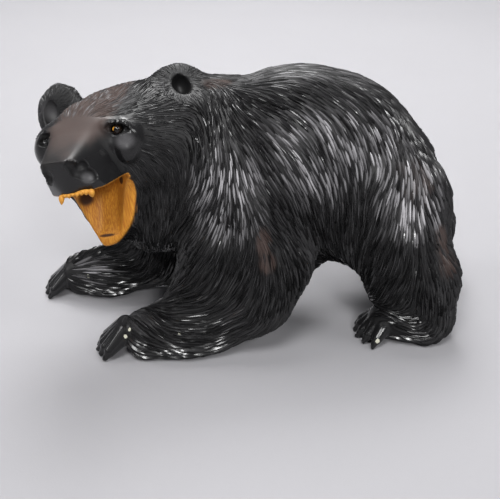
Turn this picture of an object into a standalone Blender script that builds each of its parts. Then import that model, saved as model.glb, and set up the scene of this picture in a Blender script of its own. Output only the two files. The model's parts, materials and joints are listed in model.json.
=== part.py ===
"""Carved wooden bear: one block of wood, walking, head turned to its left and roaring, with two glass eyes.

Metres, +Z up. The bear walks towards -Y and its left side is +X. The carving is described in
millimetres from the point on the ground under its shoulders, in the middle plane of its back.
Rounded masses and knife-cut blocks are joined and remeshed into one skin, and the skin is eased
onto the blended masses. The finished part stands on Z = 0 with its box centred on X and Y.
"""
import math

import bmesh
import bpy
import numpy as np
from mathutils import Matrix

MM = 0.001

# Driving sizes, in millimetres and degrees
HEAD_PLACE = (24.5, -120.0, 185.5)     # middle of the skull
HEAD_TURN = 66.0                       # from straight ahead towards the bear's left
HEAD_LIFT = 8.0                        # nose raised
HEAD_ROLL = 13.5                       # left ear raised
HIND_STRIDE = 30.0                     # the right hind foot stands this far behind the left
FACE_MIDDLE = 4.0                      # the face is cut this far left of the skull's middle
EYE_PLACE = (30.0, 28.0, 6.0)          # forward, out from the face's middle, up
EYE_RADIUS = 4.4
SOCKET_GAP = 0.3
TOES = 5
TOE_FAN = 38.0                         # how far behind the middle claw the toes' lines meet

SKIN_VOXEL = 2.0                       # grid of the remeshed skin
HOLLOW_VOXEL = 1.5                     # and of what is taken out of it
BODY_TRIANGLES = 8500


# Masses: each is a distance function and the solids that its skin grows from

class Mass:
    def __init__(self, distance, solids):
        self.distance = distance
        self.solids = solids


def matrix_of(axes, origin):
    matrix = np.eye(4)
    matrix[:3, :3] = axes
    matrix[:3, 3] = origin
    return Matrix(matrix)


def sphere_mesh(name, radius, segments, rings):
    shape = bmesh.new()
    bmesh.ops.create_uvsphere(shape, u_segments=segments, v_segments=rings, radius=radius)
    mesh = bpy.data.meshes.new(name)
    shape.to_mesh(mesh)
    shape.free()
    return mesh


def moved_copy(mesh, matrix):
    copy = mesh.copy()
    copy.transform(matrix)
    return copy


def ball(centre, radii, axes=None):
    """An ellipsoid; axes holds its three directions as columns."""
    centre = np.array(centre, float)
    radii = np.array(radii, float)
    axes = np.eye(3) if axes is None else axes

    def distance(points):
        local = (points - centre) @ axes
        near = np.sqrt(np.sum((local / radii) ** 2, axis=1))
        far = np.sqrt(np.sum((local / radii ** 2) ** 2, axis=1))
        return near * (near - 1.0) / np.maximum(far, 1e-9)

    solid = moved_copy(sphere_mesh("ball", 1.0, 24, 14), matrix_of(axes * radii, centre))
    return Mass(distance, [solid])


def limb(start, end, start_radius, end_radius):
    """A rounded cone between two points."""
    start = np.array(start, float)
    end = np.array(end, float)
    run = end - start
    length = math.dist(start, end)
    round_end = sphere_mesh("limb_ball", 1.0, 16, 10)
    count = max(2, math.ceil(2.5 * length / min(start_radius, end_radius)))
    solids = []
    for i in range(count + 1):
        t = i / count
        radius = start_radius + (end_radius - start_radius) * t
        solids.append(moved_copy(round_end, matrix_of(np.eye(3) * radius, start + run * t)))

    def distance(points):
        offset = points - start
        t = np.clip(offset @ run / length ** 2, 0.0, 1.0)
        gap = offset - t[:, None] * run
        return np.sqrt(np.sum(gap * gap, axis=1)) - (start_radius + (end_radius - start_radius) * t)

    return Mass(distance, solids)


def block(middle, planes, rounding, reach=70.0):
    """A knife-cut block: each plane is a point on it and its outward direction."""
    places = np.array([plane[0] for plane in planes], float)
    normals = np.array([plane[1] for plane in planes], float)
    normals /= np.linalg.norm(normals, axis=1)[:, None]
    offsets = np.sum(places * normals, axis=1)

    def distance(points):
        heights = points @ normals.T - offsets
        top = heights.max(axis=1)
        soft = np.exp((heights - top[:, None]) / rounding).sum(axis=1)
        return top + rounding * np.log(soft)

    shape = bmesh.new()
    bmesh.ops.create_cube(shape, size=2.0 * reach, matrix=matrix_of(np.eye(3), middle))
    for place, normal in zip(places, normals):
        everything = shape.verts[:] + shape.edges[:] + shape.faces[:]
        bmesh.ops.bisect_plane(shape, geom=everything, plane_co=place, plane_no=normal, clear_outer=True)
        rim = [edge for edge in shape.edges if edge.is_boundary]
        if rim:
            bmesh.ops.contextual_create(shape, geom=rim)
    bmesh.ops.recalc_face_normals(shape, faces=shape.faces[:])
    mesh = bpy.data.meshes.new("block")
    shape.to_mesh(mesh)
    shape.free()
    return Mass(distance, [mesh])


def placed(mass, axes, origin):
    """A mass described in its own axes, set into the carving."""
    origin = np.array(origin, float)
    solids = [moved_copy(solid, matrix_of(axes, origin)) for solid in mass.solids]
    return Mass(lambda points: mass.distance((points - origin) @ axes), solids)


def soft_min(first, second, softness):
    reach = np.maximum(softness - np.abs(first - second), 0.0)
    return np.minimum(first, second) - reach * reach / (4.0 * softness)


def joined(masses, softness):
    def distance(points):
        total = masses[0].distance(points)
        for mass in masses[1:]:
            total = soft_min(total, mass.distance(points), softness)
        return total

    return Mass(distance, [solid for mass in masses for solid in mass.solids])


def carved(mass, cutters, softness):
    """The mass with the cutters' shapes taken out of it."""
    def distance(points):
        total = mass.distance(points)
        for cutter in cutters:
            total = -soft_min(-total, cutter.distance(points), softness)
        return total

    return Mass(distance, mass.solids)


def common(masses, solids):
    """What lies inside all the masses; its skin grows from the given solids."""
    return Mass(lambda points: np.max([mass.distance(points) for mass in masses], axis=0), solids)


def both_sides(make):
    return [make(1.0), make(-1.0)]


def unit(direction):
    direction = np.array(direction, float)
    return direction / np.linalg.norm(direction)


# The head, in its own axes: forward, left, up

def head_axes():
    turn, lift, roll = np.radians([HEAD_TURN, HEAD_LIFT, HEAD_ROLL])
    forward = np.array([math.sin(turn) * math.cos(lift), -math.cos(turn) * math.cos(lift), math.sin(lift)])
    level = np.array([math.cos(turn), math.sin(turn), 0.0])
    upright = np.cross(forward, level)
    left = level * math.cos(roll) + upright * math.sin(roll)
    up = upright * math.cos(roll) - level * math.sin(roll)
    return np.column_stack([forward, left, up])


def beside(forward, out, up, s):
    """A place in the head given by its distance out from the face's middle."""
    return np.array([forward, FACE_MIDDLE + out * s, up], float)


def skull():
    return joined([
        ball((-30, 2, -6), (42, 48, 39)),
        ball((6, 2, 1), (34, 40, 26)),
        *both_sides(lambda s: ball(beside(-14, 32, -16, s), (36, 26, 34))),
        ball(beside(10, 31, -3, 1), (24, 17, 19)),
        ball(beside(12, 35, -4, -1), (24, 18, 20)),
    ], 8)


def brows():
    """Rolls that arch over the eyes."""
    masses = []
    for s in (1, -1):
        brow = [beside(*place, s) for place in BROW]
        masses += [limb(start, end, 3.4, 3.4) for start, end in zip(brow, brow[1:])]
    return joined(masses, 4)


def bags():
    """The smooth swellings under the eyes."""
    return both_sides(lambda s: ball(beside(23, 30, -9.5, s), (12.5, 11.5, 13)))


BROW = [(32, 15, 10), (34, 22, 12), (33.5, 28, 12), (30, 34, 8), (26, 38, 1), (23, 40, -6)]


def muzzle():
    """Softly rounded along its length, crisp round the nose."""
    length = [
        ((80, 1, -5.2), (0.46, 0.02, 1)),
        ((36, 25, -8), (0.227, 1, 0.198)),
        ((80, -13, -5), (0.26, -1, 0.03)),
        ((45, 17.0, 10.5), (0.40, 0.967, 1)),
        ((45, -16.0, 10.5), (0.40, -0.967, 1)),
    ]
    front = [
        ((80.5, 1, -5), (1, -0.04, -0.36)),
        ((60, 0, -37.5), (-0.12, 0, -1)),
        ((8, 0, -10), (-1, 0, 0)),
        ((78, 14.5, -5.6), (1, 0.68, -0.6)),
        ((80, -13.5, -5.6), (1, -0.68, -0.62)),
    ]
    middle = (45, 0, -15)
    seed = block(middle, [*length, *front], 1.5)
    return common([block(middle, length, 2.4), block(middle, front, 1.2)], seed.solids)


def lower_jaw():
    planes = [
        ((18, 3, -60), (1, 0, 0.02)),
        ((-18, 3, -60), (-1, 0, -0.6)),
        ((14, -4, -89), (0.15, 0.1, -1)),
        ((0, 3, -12), (0, 0, 1)),
        ((17, 26.5, -58.7), (0.15, 1, -0.42)),
        ((17, 16, -77.2), (0.1, 1, -0.95)),
        ((17, 6.2, -85.9), (0.1, 0.72, -1)),
        ((17, -17.5, -68), (0.15, -1, -0.39)),
    ]
    return block((0, 0, -50), planes, 2.0)


def mouth():
    """What is taken out between the jaws: the palate above, the scooped lower jaw behind and below."""
    planes = [
        ((5, 3, -50), (-1, 0, -0.30)),
        ((60, 20, -33.0), (0.10, -0.04, 1)),
        ((17, -3, -80), (-0.8, 0, -1)),
        ((110, 3, 0), (1, 0, 0)),
        ((17, 16, -57.3), (-0.9, 1, -0.30)),
        ((17, -17.0, -57), (-0.9, -1, -0.24)),
    ]
    return block((50, 0, -50), planes, 2.2, 90.0)


def ear(s):
    """A thick faceted ear, cut flat above, with a deep hollow."""
    if s > 0:
        facing, centre, radii = (0.80, 0.52, 0.30), (-40, 60, 22), (10, 25, 23)
        cuts = [
            ((-40, 62, 44.5), (0, -0.15, 1)),
            ((-40, 77, 38), (0, 0.8, 0.6)),
            ((-40, 47, 42), (0, -0.45, 1)),
        ]
    else:
        facing, centre, radii = (0.93, -0.30, 0.22), (-38, -50, 20), (10, 27, 25)
        cuts = [
            ((-38, -62, 39), (0, -0.62, 1)),
            ((-38, -43, 42.5), (0, 0.40, 1)),
            ((-38, -74.5, 22), (0, -1, 0.1)),
        ]
    facing = unit(facing)
    across = unit(np.cross(facing, (0, 0, 1)))
    axes = np.column_stack([facing, across, np.cross(facing, across)])
    centre = np.array(centre, float)
    round_ear = ball(centre, radii, axes)
    shell = common([round_ear, block(centre, cuts, 1.5)], round_ear.solids)
    hollow = ball(centre + facing * 12 + np.array([0, 3.5 * s, -1.5]), (16, 10.5, 13), axes)
    return shell, hollow


def nostril(s):
    """A comma-shaped scoop whose floor faces up and out."""
    if s > 0:
        start, middle, end = (78, 11.5, -9.5), (72.5, 15.5, -16.5), (64.5, 19.5, -22)
    else:
        start, middle, end = (80, -12, -9.5), (75, -14, -16.5), (68, -17.5, -22)
    return joined([limb(start, middle, 3.2, 6.4), limb(middle, end, 6.4, 5.4)], 2)


def eye_hollow(s):
    """The almond cut between brow and bag."""
    centre = beside(*EYE_PLACE, s)
    front = unit((0.86, 0.46 * s, 0.12))
    along = unit((-0.42, 0.86 * s, -0.27))
    up = unit(np.cross(front, along)) * s
    middle = centre + front * 7.5 + up * 0.6
    seed = ball(middle, (10.0, 9.5, 4.5), np.column_stack([front, along, up]))
    return common([ball(middle + up * 7.0, (12.4,) * 3), ball(middle - up * 7.6, (12.4,) * 3)], seed.solids)


def head_masses():
    axes = head_axes()
    left_ear, left_hollow = ear(1)
    right_ear, right_hollow = ear(-1)
    masses = joined([joined([skull(), brows()], 6), muzzle()], 9)
    masses = joined([masses, *bags()], 2)
    masses = joined([masses, lower_jaw()], 8)
    masses = joined([masses, left_ear, right_ear], 6)
    cutters = [left_hollow, right_hollow, *both_sides(nostril), *both_sides(eye_hollow)]
    whole = placed(masses, axes, HEAD_PLACE)
    return whole, [placed(cutter, axes, HEAD_PLACE) for cutter in cutters]


# The body

def trunk():
    return joined([
        ball((0, -22, 146), (56, 60, 76)),
        ball((0, 48, 152), (54, 92, 79)),
        ball((0, 45, 138), (60, 80, 72)),
        ball((0, 54, 104), (48, 66, 40)),
        ball((0, 40, 75), (38, 40, 36)),
        ball((0, 88, 143), (56, 65, 74)),
        ball((0, 113, 118), (58, 57, 74)),
        limb((0, -25, 168), (12, -80, 173), 50, 51),
        ball((16, -76, 122), (40, 36, 44)),
    ], 14)


def roll(line, softness):
    """A thick roll through places that each have a radius of their own."""
    masses = [limb(start[:3], end[:3], start[3], end[3]) for start, end in zip(line, line[1:])]
    return joined(masses, softness)


def toes(tip, turn, span, knuckle_height):
    """Five toes that fan from under the fur to their claws; tip is the middle claw's place."""
    turn = math.radians(turn)
    ahead = np.array([math.sin(turn), -math.cos(turn), 0.0])
    across = np.array([math.cos(turn), math.sin(turn), 0.0])
    up = np.array([0.0, 0.0, 1.0])
    middle = np.array([*tip, 0.0]) - ahead * TOE_FAN
    masses = []
    for i in range(TOES):
        angle = math.radians(span) * (i / (TOES - 1) * 2.0 - 1.0)
        way = ahead * math.cos(angle) + across * math.sin(angle)
        knuckle = middle + way * (TOE_FAN - 25.0) + up * knuckle_height
        joint = middle + way * (TOE_FAN - 7.5) + up * 8.0
        claw = middle + way * (TOE_FAN - 1.5) + up * 2.2
        masses.append(joined([limb(knuckle, joint, 8.5, 4.9), limb(joint, claw, 4.4, 2.0)], 1.0))
    return joined(masses, 0.5)


LEFT_SHIN = [(42, 6, 125, 35), (50, 17, 78, 34), (55, 5, 47, 30), (57, -30, 26, 26)]
LEFT_WRIST = [(44, -26, 90, 32), (50, -36, 48, 28), (58, -54, 24, 26), (59, -87, 17, 22)]
RIGHT_SHIN = [
    (-40, -8, 125, 35),
    (-44, -12, 80, 34),
    (-50, -60, 42, 27),
    (-56, -122, 21, 22),
    (-60, -146, 17.5, 20.5),
]
RIGHT_WRIST = [(-44, -40, 90, 32), (-50, -72, 50, 26)]


def hind_leg(s, back):
    return joined([
        ball((36 * s, 126 + back * 0.3, 111), (35, 51, 60)),
        roll([
            (44 * s, 130 + back * 0.6, 88, 40),
            (54 * s, 144 + back, 52, 37),
            (60 * s, 155 + back, 23, 25),
        ], 12),
        roll([(62 * s, 150 + back, 18, 23), (60 * s, 120 + back, 15, 15)], 12),
    ], 12)


def legs():
    left = joined([ball((36, -10, 142), (33, 50, 60)), roll(LEFT_SHIN, 12), roll(LEFT_WRIST, 12)], 12)
    right = joined([ball((-36, -25, 142), (33, 50, 60)), roll(RIGHT_SHIN, 12), roll(RIGHT_WRIST, 12)], 12)
    return [
        joined([left, toes((55, -134), 3, 29, 21)], 3),
        joined([right, toes((-64, -185), -4, 30, 21)], 3),
        joined([hind_leg(1, 0.0), toes((60, 93), 6, 36, 20)], 3),
        joined([hind_leg(-1, HIND_STRIDE), toes((-58, 93 + HIND_STRIDE), -6, 36, 20)], 3),
    ]


def bear():
    head, cutters = head_masses()
    whole = joined([joined([trunk(), *legs()], 14), head], 10)
    gap = placed(mouth(), head_axes(), HEAD_PLACE)
    return carved(carved(whole, cutters, 2.0), [gap], 1.5), [gap, *cutters]


# Skin

def new_object(name, mesh, collection):
    made = bpy.data.objects.new(name, mesh)
    collection.objects.link(made)
    return made


def heap(name, solids):
    """All the solids in one mesh, still overlapping."""
    shape = bmesh.new()
    for solid in solids:
        shape.from_mesh(solid)
    mesh = bpy.data.meshes.new(name)
    shape.to_mesh(mesh)
    shape.free()
    return mesh


def evaluated(made):
    depsgraph = bpy.context.evaluated_depsgraph_get()
    return bpy.data.meshes.new_from_object(made.evaluated_get(depsgraph))


def remeshed(mesh, voxel, cutter=None):
    made = new_object("skin_draft", mesh, bpy.context.scene.collection)
    if cutter is not None:
        cut = made.modifiers.new("cut", 'BOOLEAN')
        cut.operation = 'DIFFERENCE'
        cut.object = cutter
    remesh = made.modifiers.new("remesh", 'REMESH')
    remesh.mode = 'VOXEL'
    remesh.voxel_size = voxel
    result = evaluated(made)
    bpy.data.objects.remove(made)
    return result


def vertex_points(mesh):
    points = np.empty(len(mesh.vertices) * 3)
    mesh.vertices.foreach_get("co", points)
    return points.reshape(-1, 3)


def slope_of(mass, points, gap, step=0.05):
    slopes = [(mass.distance(points + axis) - gap) / step for axis in np.eye(3) * step]
    return np.column_stack(slopes)


def settle(mesh, mass, rounds):
    """Moves each vertex along the slope of the blended masses until it lies on their surface."""
    points = vertex_points(mesh)
    for _ in range(rounds):
        gap = mass.distance(points)
        slope = slope_of(mass, points, gap)
        steepness = np.maximum(np.sum(slope * slope, axis=1), 0.05)
        points = points - slope * (np.clip(gap, -4.0, 4.0) / steepness)[:, None]
    mesh.vertices.foreach_set("co", points.ravel())
    mesh.update()


def thinned(made, triangles):
    """Fewer triangles, as a modifier that keeps the form."""
    faces = sum(len(face.vertices) - 2 for face in made.data.polygons)
    decimate = made.modifiers.new("thin", 'DECIMATE')
    decimate.ratio = triangles / faces


def cut_away(made, name, cutter):
    cut = made.modifiers.new(name, 'BOOLEAN')
    cut.operation = 'DIFFERENCE'
    cut.solver = 'EXACT'
    cut.object = cutter


def cutter_object(name, mesh, collection):
    cutter = new_object(name, mesh, collection)
    cutter.hide_render = True
    cutter.display_type = 'WIRE'
    return cutter


def box_mesh(name, low, high):
    shape = bmesh.new()
    low = np.array(low, float)
    high = np.array(high, float)
    bmesh.ops.create_cube(shape, size=1.0, matrix=matrix_of(np.diag(high - low), (low + high) / 2.0))
    mesh = bpy.data.meshes.new(name)
    shape.to_mesh(mesh)
    shape.free()
    return mesh


def material(name, colour, roughness, coat):
    made = bpy.data.materials.new(name)
    made.use_nodes = True
    shader = made.node_tree.nodes["Principled BSDF"]
    shader.inputs["Base Color"].default_value = (*colour, 1.0)
    shader.inputs["Roughness"].default_value = roughness
    shader.inputs["Metallic"].default_value = 0.0
    shader.inputs["Coat Weight"].default_value = coat
    return made


def carve_skin(hollows, mass):
    cutter = cutter_object("hollows_draft", remeshed(hollows, HOLLOW_VOXEL), bpy.context.scene.collection)
    skin = remeshed(heap("skin_seed", mass.solids), SKIN_VOXEL)
    skin = remeshed(skin, SKIN_VOXEL, cutter)
    settle(skin, mass, 6)
    skin = remeshed(skin, SKIN_VOXEL)
    settle(skin, mass, 3)
    bpy.data.objects.remove(cutter)
    return skin


def eye_centre(s):
    return np.array(HEAD_PLACE) + head_axes() @ beside(*EYE_PLACE, s)


def make_body(collection, cutters):
    mass, hollows = bear()
    skin = carve_skin(heap("hollows", [solid for hollow in hollows for solid in hollow.solids]), mass)
    made = new_object("bear", skin, collection)
    thinned(made, BODY_TRIANGLES)
    ground = cutter_object("ground", box_mesh("ground", (-200, -300, -60), (200, 300, 0)), cutters)
    cut_away(made, "flat soles", ground)
    for side, s in (("left", 1), ("right", -1)):
        socket = sphere_mesh("socket", EYE_RADIUS + SOCKET_GAP, 16, 10)
        hole = cutter_object("socket_" + side, socket, cutters)
        hole.location = eye_centre(s)
        cut_away(made, "socket " + side, hole)
    bpy.context.view_layer.update()
    made.data = evaluated(made)
    made.modifiers.clear()
    made.data.materials.append(material("stained_lacquered_wood", (0.016, 0.014, 0.014), 0.3, 0.6))
    return made


def make_eyes(collection):
    glass = material("amber_glass", (0.35, 0.14, 0.02), 0.05, 1.0)
    for side, s in (("left", 1), ("right", -1)):
        eye = new_object("eye_" + side, sphere_mesh("eye", EYE_RADIUS, 16, 10), collection)
        eye.data.materials.append(glass)
        eye.data.shade_smooth()
        eye.location = eye_centre(s)


def set_in_frame(collection, cutters, body):
    """Millimetres to metres, with the box centred over the origin."""
    points = vertex_points(body.data)
    middle = (points.min(axis=0) + points.max(axis=0)) / 2.0
    shift = Matrix.Translation((-middle[0], -middle[1], 0.0))
    for made in [*collection.objects, *cutters.objects]:
        made.data.transform(Matrix.Scale(MM, 4) @ shift @ made.matrix_basis)
        made.matrix_basis = Matrix.Identity(4)


def main():
    for old in list(bpy.data.objects):
        bpy.data.objects.remove(old)
    collection = bpy.data.collections.new("carved_wooden_bear")
    cutters = bpy.data.collections.new("cutters")
    bpy.context.scene.collection.children.link(collection)
    bpy.context.scene.collection.children.link(cutters)
    body = make_body(collection, cutters)
    make_eyes(collection)
    set_in_frame(collection, cutters, body)


if __name__ == "__main__":
    main()
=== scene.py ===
"""Looks of the carved wooden bear: carved skin, gouged fur, teeth, glass eyes, camera, light and floor.

Everything that bpy holds is in metres, +Z up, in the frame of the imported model. The carving itself is
worked out in millimetres from the point on the ground under the bear's shoulders, with the bear walking
towards -Y and its left side at +X. A mass is a function that gives each point's distance from its surface,
negative inside.
"""
import json
import math

import bmesh
import bpy
import numpy as np
from bpy.props import FloatProperty, FloatVectorProperty, IntProperty, PointerProperty
from mathutils import Matrix, Vector
from mathutils.bvhtree import BVHTree

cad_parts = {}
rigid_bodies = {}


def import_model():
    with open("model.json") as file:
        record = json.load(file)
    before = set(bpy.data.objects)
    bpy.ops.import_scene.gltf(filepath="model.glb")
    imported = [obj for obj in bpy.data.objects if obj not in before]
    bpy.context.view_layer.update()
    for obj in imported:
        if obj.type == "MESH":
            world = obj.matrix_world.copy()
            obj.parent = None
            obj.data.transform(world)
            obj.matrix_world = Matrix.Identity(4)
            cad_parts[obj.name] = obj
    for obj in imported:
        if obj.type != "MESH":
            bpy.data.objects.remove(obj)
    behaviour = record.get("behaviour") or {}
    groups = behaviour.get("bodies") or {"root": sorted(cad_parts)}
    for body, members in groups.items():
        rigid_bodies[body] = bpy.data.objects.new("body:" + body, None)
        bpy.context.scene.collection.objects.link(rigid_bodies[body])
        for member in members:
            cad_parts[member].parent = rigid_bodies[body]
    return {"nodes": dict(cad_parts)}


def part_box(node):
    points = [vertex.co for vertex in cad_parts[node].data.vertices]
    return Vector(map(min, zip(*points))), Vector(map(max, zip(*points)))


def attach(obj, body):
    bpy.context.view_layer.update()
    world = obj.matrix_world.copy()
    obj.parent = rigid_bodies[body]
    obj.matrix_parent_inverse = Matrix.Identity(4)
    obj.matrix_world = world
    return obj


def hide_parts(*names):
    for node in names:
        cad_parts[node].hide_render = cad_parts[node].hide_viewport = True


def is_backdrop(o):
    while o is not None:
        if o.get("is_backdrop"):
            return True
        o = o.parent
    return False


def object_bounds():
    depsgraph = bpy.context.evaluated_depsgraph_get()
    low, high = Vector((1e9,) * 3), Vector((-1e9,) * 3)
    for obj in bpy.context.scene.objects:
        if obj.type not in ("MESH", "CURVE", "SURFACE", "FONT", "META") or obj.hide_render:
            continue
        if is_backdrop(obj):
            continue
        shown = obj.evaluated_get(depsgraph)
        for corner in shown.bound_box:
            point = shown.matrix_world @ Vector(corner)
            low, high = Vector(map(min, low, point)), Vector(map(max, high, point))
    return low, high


bl_info = {
    "name": "Carved Wooden Bear",
    "version": (1, 0, 0),
    "blender": (4, 5, 0),
    "location": "3D View > Sidebar > Carving",
    "description": "Carved skin, gouged fur, teeth, glass eyes and stage of a stained wooden bear",
    "category": "Object",
}

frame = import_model()
CAD_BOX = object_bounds()

MM = 0.001
FAR = 60.0                             # a distance past every blend

# Driving sizes, in millimetres and degrees
HEAD_PLACE = (24.5, -120.0, 185.5)     # middle of the skull
HEAD_TURN = 66.0                       # from straight ahead towards the bear's left
HEAD_LIFT = 8.0                        # nose raised
HEAD_ROLL = 13.5                       # left ear raised
STRIDE = 50.0                          # the right front paw stands this far ahead of the left
HIND_STRIDE = 30.0                     # the right hind foot stands this far behind the left
FACE_MIDDLE = 4.0                      # the face is cut this far left of the skull's middle
EYE_PLACE = (30.0, 28.0, 6.0)          # forward, out from the face's middle, up
EYE_RADIUS = 4.4
SOCKET_GAP = 0.3
LID_THICKNESS = 1.9
UPPER_LID = 20.0                       # how far each lid stands back from the eye's front
LOWER_LID = 24.0
TOES = 5

# How softly the masses run into one another, in millimetres
SKULL_BLEND = 8
BROW_BLEND = 6
MUZZLE_BLEND = 9
BAG_BLEND = 1.6
JOWL_BLEND = 3
JAW_BLEND = 8
EAR_BLEND = 6
LID_BLEND = 0.6
SOCKET_BLEND = 0.3
TRUNK_BLEND = 14
LEG_BLEND = 12
TOE_BLEND = 3
NECK_BLEND = 10
CUT_BLEND = 1.0
CREASE_BLEND = 4.0
MOUTH_BLEND = 0.8


# Masses

def ball(centre, radii, axes=None):
    """An ellipsoid; axes holds its three directions as columns."""
    centre = np.array(centre, float)
    radii = np.array(radii, float)
    axes = np.eye(3) if axes is None else axes

    def distance(points):
        local = (points - centre) @ axes
        near = np.sqrt(np.sum((local / radii) ** 2, axis=1))
        far = np.sqrt(np.sum((local / radii ** 2) ** 2, axis=1))
        return near * (near - 1.0) / np.maximum(far, 1e-9)

    return distance


def limb(start, end, start_radius, end_radius):
    """A rounded cone between two points."""
    start = np.array(start, float)
    run = np.array(end, float) - start
    length = np.linalg.norm(run)

    def distance(points):
        offset = points - start
        t = np.clip(offset @ run / length ** 2, 0.0, 1.0)
        gap = offset - t[:, None] * run
        return np.sqrt(np.sum(gap * gap, axis=1)) - (start_radius + (end_radius - start_radius) * t)

    return distance


def ridge(places, radius, softness=1.0):
    """A thin roll through a row of places."""
    return joined([limb(start, end, radius, radius) for start, end in zip(places, places[1:])], softness)


def block(planes, rounding):
    """A knife-cut block: each plane is a point on it and its outward direction."""
    places = np.array([plane[0] for plane in planes], float)
    normals = np.array([plane[1] for plane in planes], float)
    normals /= np.linalg.norm(normals, axis=1)[:, None]
    offsets = np.sum(places * normals, axis=1)

    def distance(points):
        heights = points @ normals.T - offsets
        top = heights.max(axis=1)
        soft = np.exp((heights - top[:, None]) / rounding).sum(axis=1)
        return top + rounding * np.log(soft)

    return distance


def placed(distance, axes, origin):
    """A mass described in its own axes, set into the carving."""
    origin = np.array(origin, float)
    return lambda points: distance((points - origin) @ axes)


def within(distance, low, high):
    """The same mass, worked out only inside a box that holds it and its blends."""
    low = np.array(low, float)
    high = np.array(high, float)

    def nearby(points):
        inside = np.all((points > low) & (points < high), axis=1)
        result = np.full(len(points), FAR)
        if inside.any():
            result[inside] = distance(points[inside])
        return result

    return nearby


def soft_min(first, second, softness):
    """The lesser of two distances, rounded off where they are near each other."""
    reach = np.maximum(softness - np.abs(first - second), 0.0)
    return np.minimum(first, second) - reach * reach / (4.0 * softness)


def joined(masses, softness):
    """The masses run into one another."""
    def distance(points):
        total = masses[0](points)
        for mass in masses[1:]:
            total = soft_min(total, mass(points), softness)
        return total

    return distance


def carved(mass, cutters, softness):
    """The mass with the cutters' shapes taken out of it."""
    def distance(points):
        total = mass(points)
        for cutter in cutters:
            total = -soft_min(-total, cutter(points), softness)
        return total

    return distance


def common(masses):
    """What lies inside all the masses."""
    return lambda points: np.max([mass(points) for mass in masses], axis=0)


def both_sides(make):
    """The left one and the right one."""
    return [make(1.0), make(-1.0)]


def unit(direction):
    direction = np.array(direction, float)
    return direction / np.linalg.norm(direction)


def tapered(line, softness):
    """A roll through places that each have a radius of their own."""
    parts = [limb(start[:3], end[:3], start[3], end[3]) for start, end in zip(line, line[1:])]
    return joined(parts, softness)


# The head, in its own axes

def head_axes():
    """The head's own directions as columns: forward, left, up."""
    turn, lift, roll = np.radians([HEAD_TURN, HEAD_LIFT, HEAD_ROLL])
    forward = np.array([math.sin(turn) * math.cos(lift), -math.cos(turn) * math.cos(lift), math.sin(lift)])
    level = np.array([math.cos(turn), math.sin(turn), 0.0])
    upright = np.cross(forward, level)
    left = level * math.cos(roll) + upright * math.sin(roll)
    up = upright * math.cos(roll) - level * math.sin(roll)
    return np.column_stack([forward, left, up])


def to_head(points):
    """The same points in the head's axes."""
    return (points - np.array(HEAD_PLACE)) @ head_axes()


def beside(forward, out, up, s):
    """A place in the head given by its distance out from the face's middle."""
    return np.array([forward, FACE_MIDDLE + out * s, up], float)


def skull():
    """The head's round masses and its cheeks."""
    return joined([
        ball((-30, 2, -6), (42, 48, 39)),
        ball((6, 2, 1), (34, 40, 26)),
        *both_sides(lambda s: ball(beside(-14, 32, -16, s), (36, 26, 34))),
        ball(beside(10, 31, -3, 1), (24, 17, 19)),
        ball(beside(12, 35, -4, -1), (24, 18, 20)),
    ], SKULL_BLEND)


# The middle of the brow roll: forward, out from the face's middle, up
BROW = [(32, 15, 9.5), (35, 22, 10.8), (35, 28, 10.8), (31.3, 34, 7.4), (26.5, 38, 1), (23, 40, -6)]
BROW_RADIUS = 3.4


def brows():
    """Rolls that arch over the eyes."""
    masses = []
    for s in (1, -1):
        brow = [beside(*place, s) for place in BROW]
        masses += [limb(start, end, BROW_RADIUS, BROW_RADIUS) for start, end in zip(brow, brow[1:])]
    return joined(masses, softness=4)


def bags():
    """The smooth swellings under the eyes."""
    return both_sides(lambda s: ball(beside(23, 30, -9.5, s), (12.5, 11.5, 13)))


def muzzle():
    """The knife-cut muzzle, softly rounded along its length and crisp round the nose."""
    length = block([
        ((80, 1, -5.2), (0.46, 0.02, 1)),
        ((36, 25, -8), (0.227, 1, 0.198)),
        ((80, -13, -5), (0.26, -1, 0.03)),
        ((45, 17.0, 10.5), (0.40, 0.967, 1)),
        ((45, -16.0, 10.5), (0.40, -0.967, 1)),
    ], rounding=2.4)
    front = block([
        ((80.5, 1, -5), (1, -0.04, -0.36)),
        ((60, 0, -37.5), (-0.12, 0, -1)),
        ((8, 0, -10), (-1, 0, 0)),
        ((78, 14.5, -5.6), (1, 0.68, -0.6)),
        ((80, -13.5, -5.6), (1, -0.68, -0.62)),
    ], rounding=1.2)
    return common([length, front])


def lower_jaw():
    """The jaw, cut with flat knife strokes; each plane is a place and its outward direction."""
    return block([
        ((18, 3, -60), (1, 0, 0.02)),
        ((-18, 3, -60), (-1, 0, -0.6)),
        ((14, -4, -89), (0.15, 0.1, -1)),
        ((0, 3, -12), (0, 0, 1)),
        ((17, 26.5, -58.7), (0.15, 1, -0.42)),
        ((17, 16, -77.2), (0.1, 1, -0.95)),
        ((17, 6.2, -85.9), (0.1, 0.72, -1)),
        ((17, -17.5, -68), (0.15, -1, -0.39)),
    ], rounding=1.4)


def far_jowl():
    """The cheek that swells out behind the far edge of the open jaw."""
    return limb((0, -23, -44), (1, -18, -61), 11.5, 9.0)


def mouth():
    """What is taken out between the jaws: the palate above, the scooped lower jaw behind and below."""
    return block([
        ((5, 3, -50), (-1, 0, -0.30)),
        ((60, 20, -33.0), (0.10, -0.04, 1)),
        ((17, -3, -80), (-0.8, 0, -1)),
        ((110, 3, 0), (1, 0, 0)),
        ((17, 16, -57.3), (-0.9, 1, -0.30)),
        ((17, -17.0, -57), (-0.9, -1, -0.24)),
    ], rounding=1.6)


HOLLOW_OUT = 12                        # the middle of an ear's hollow stands this far before the ear's


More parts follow.
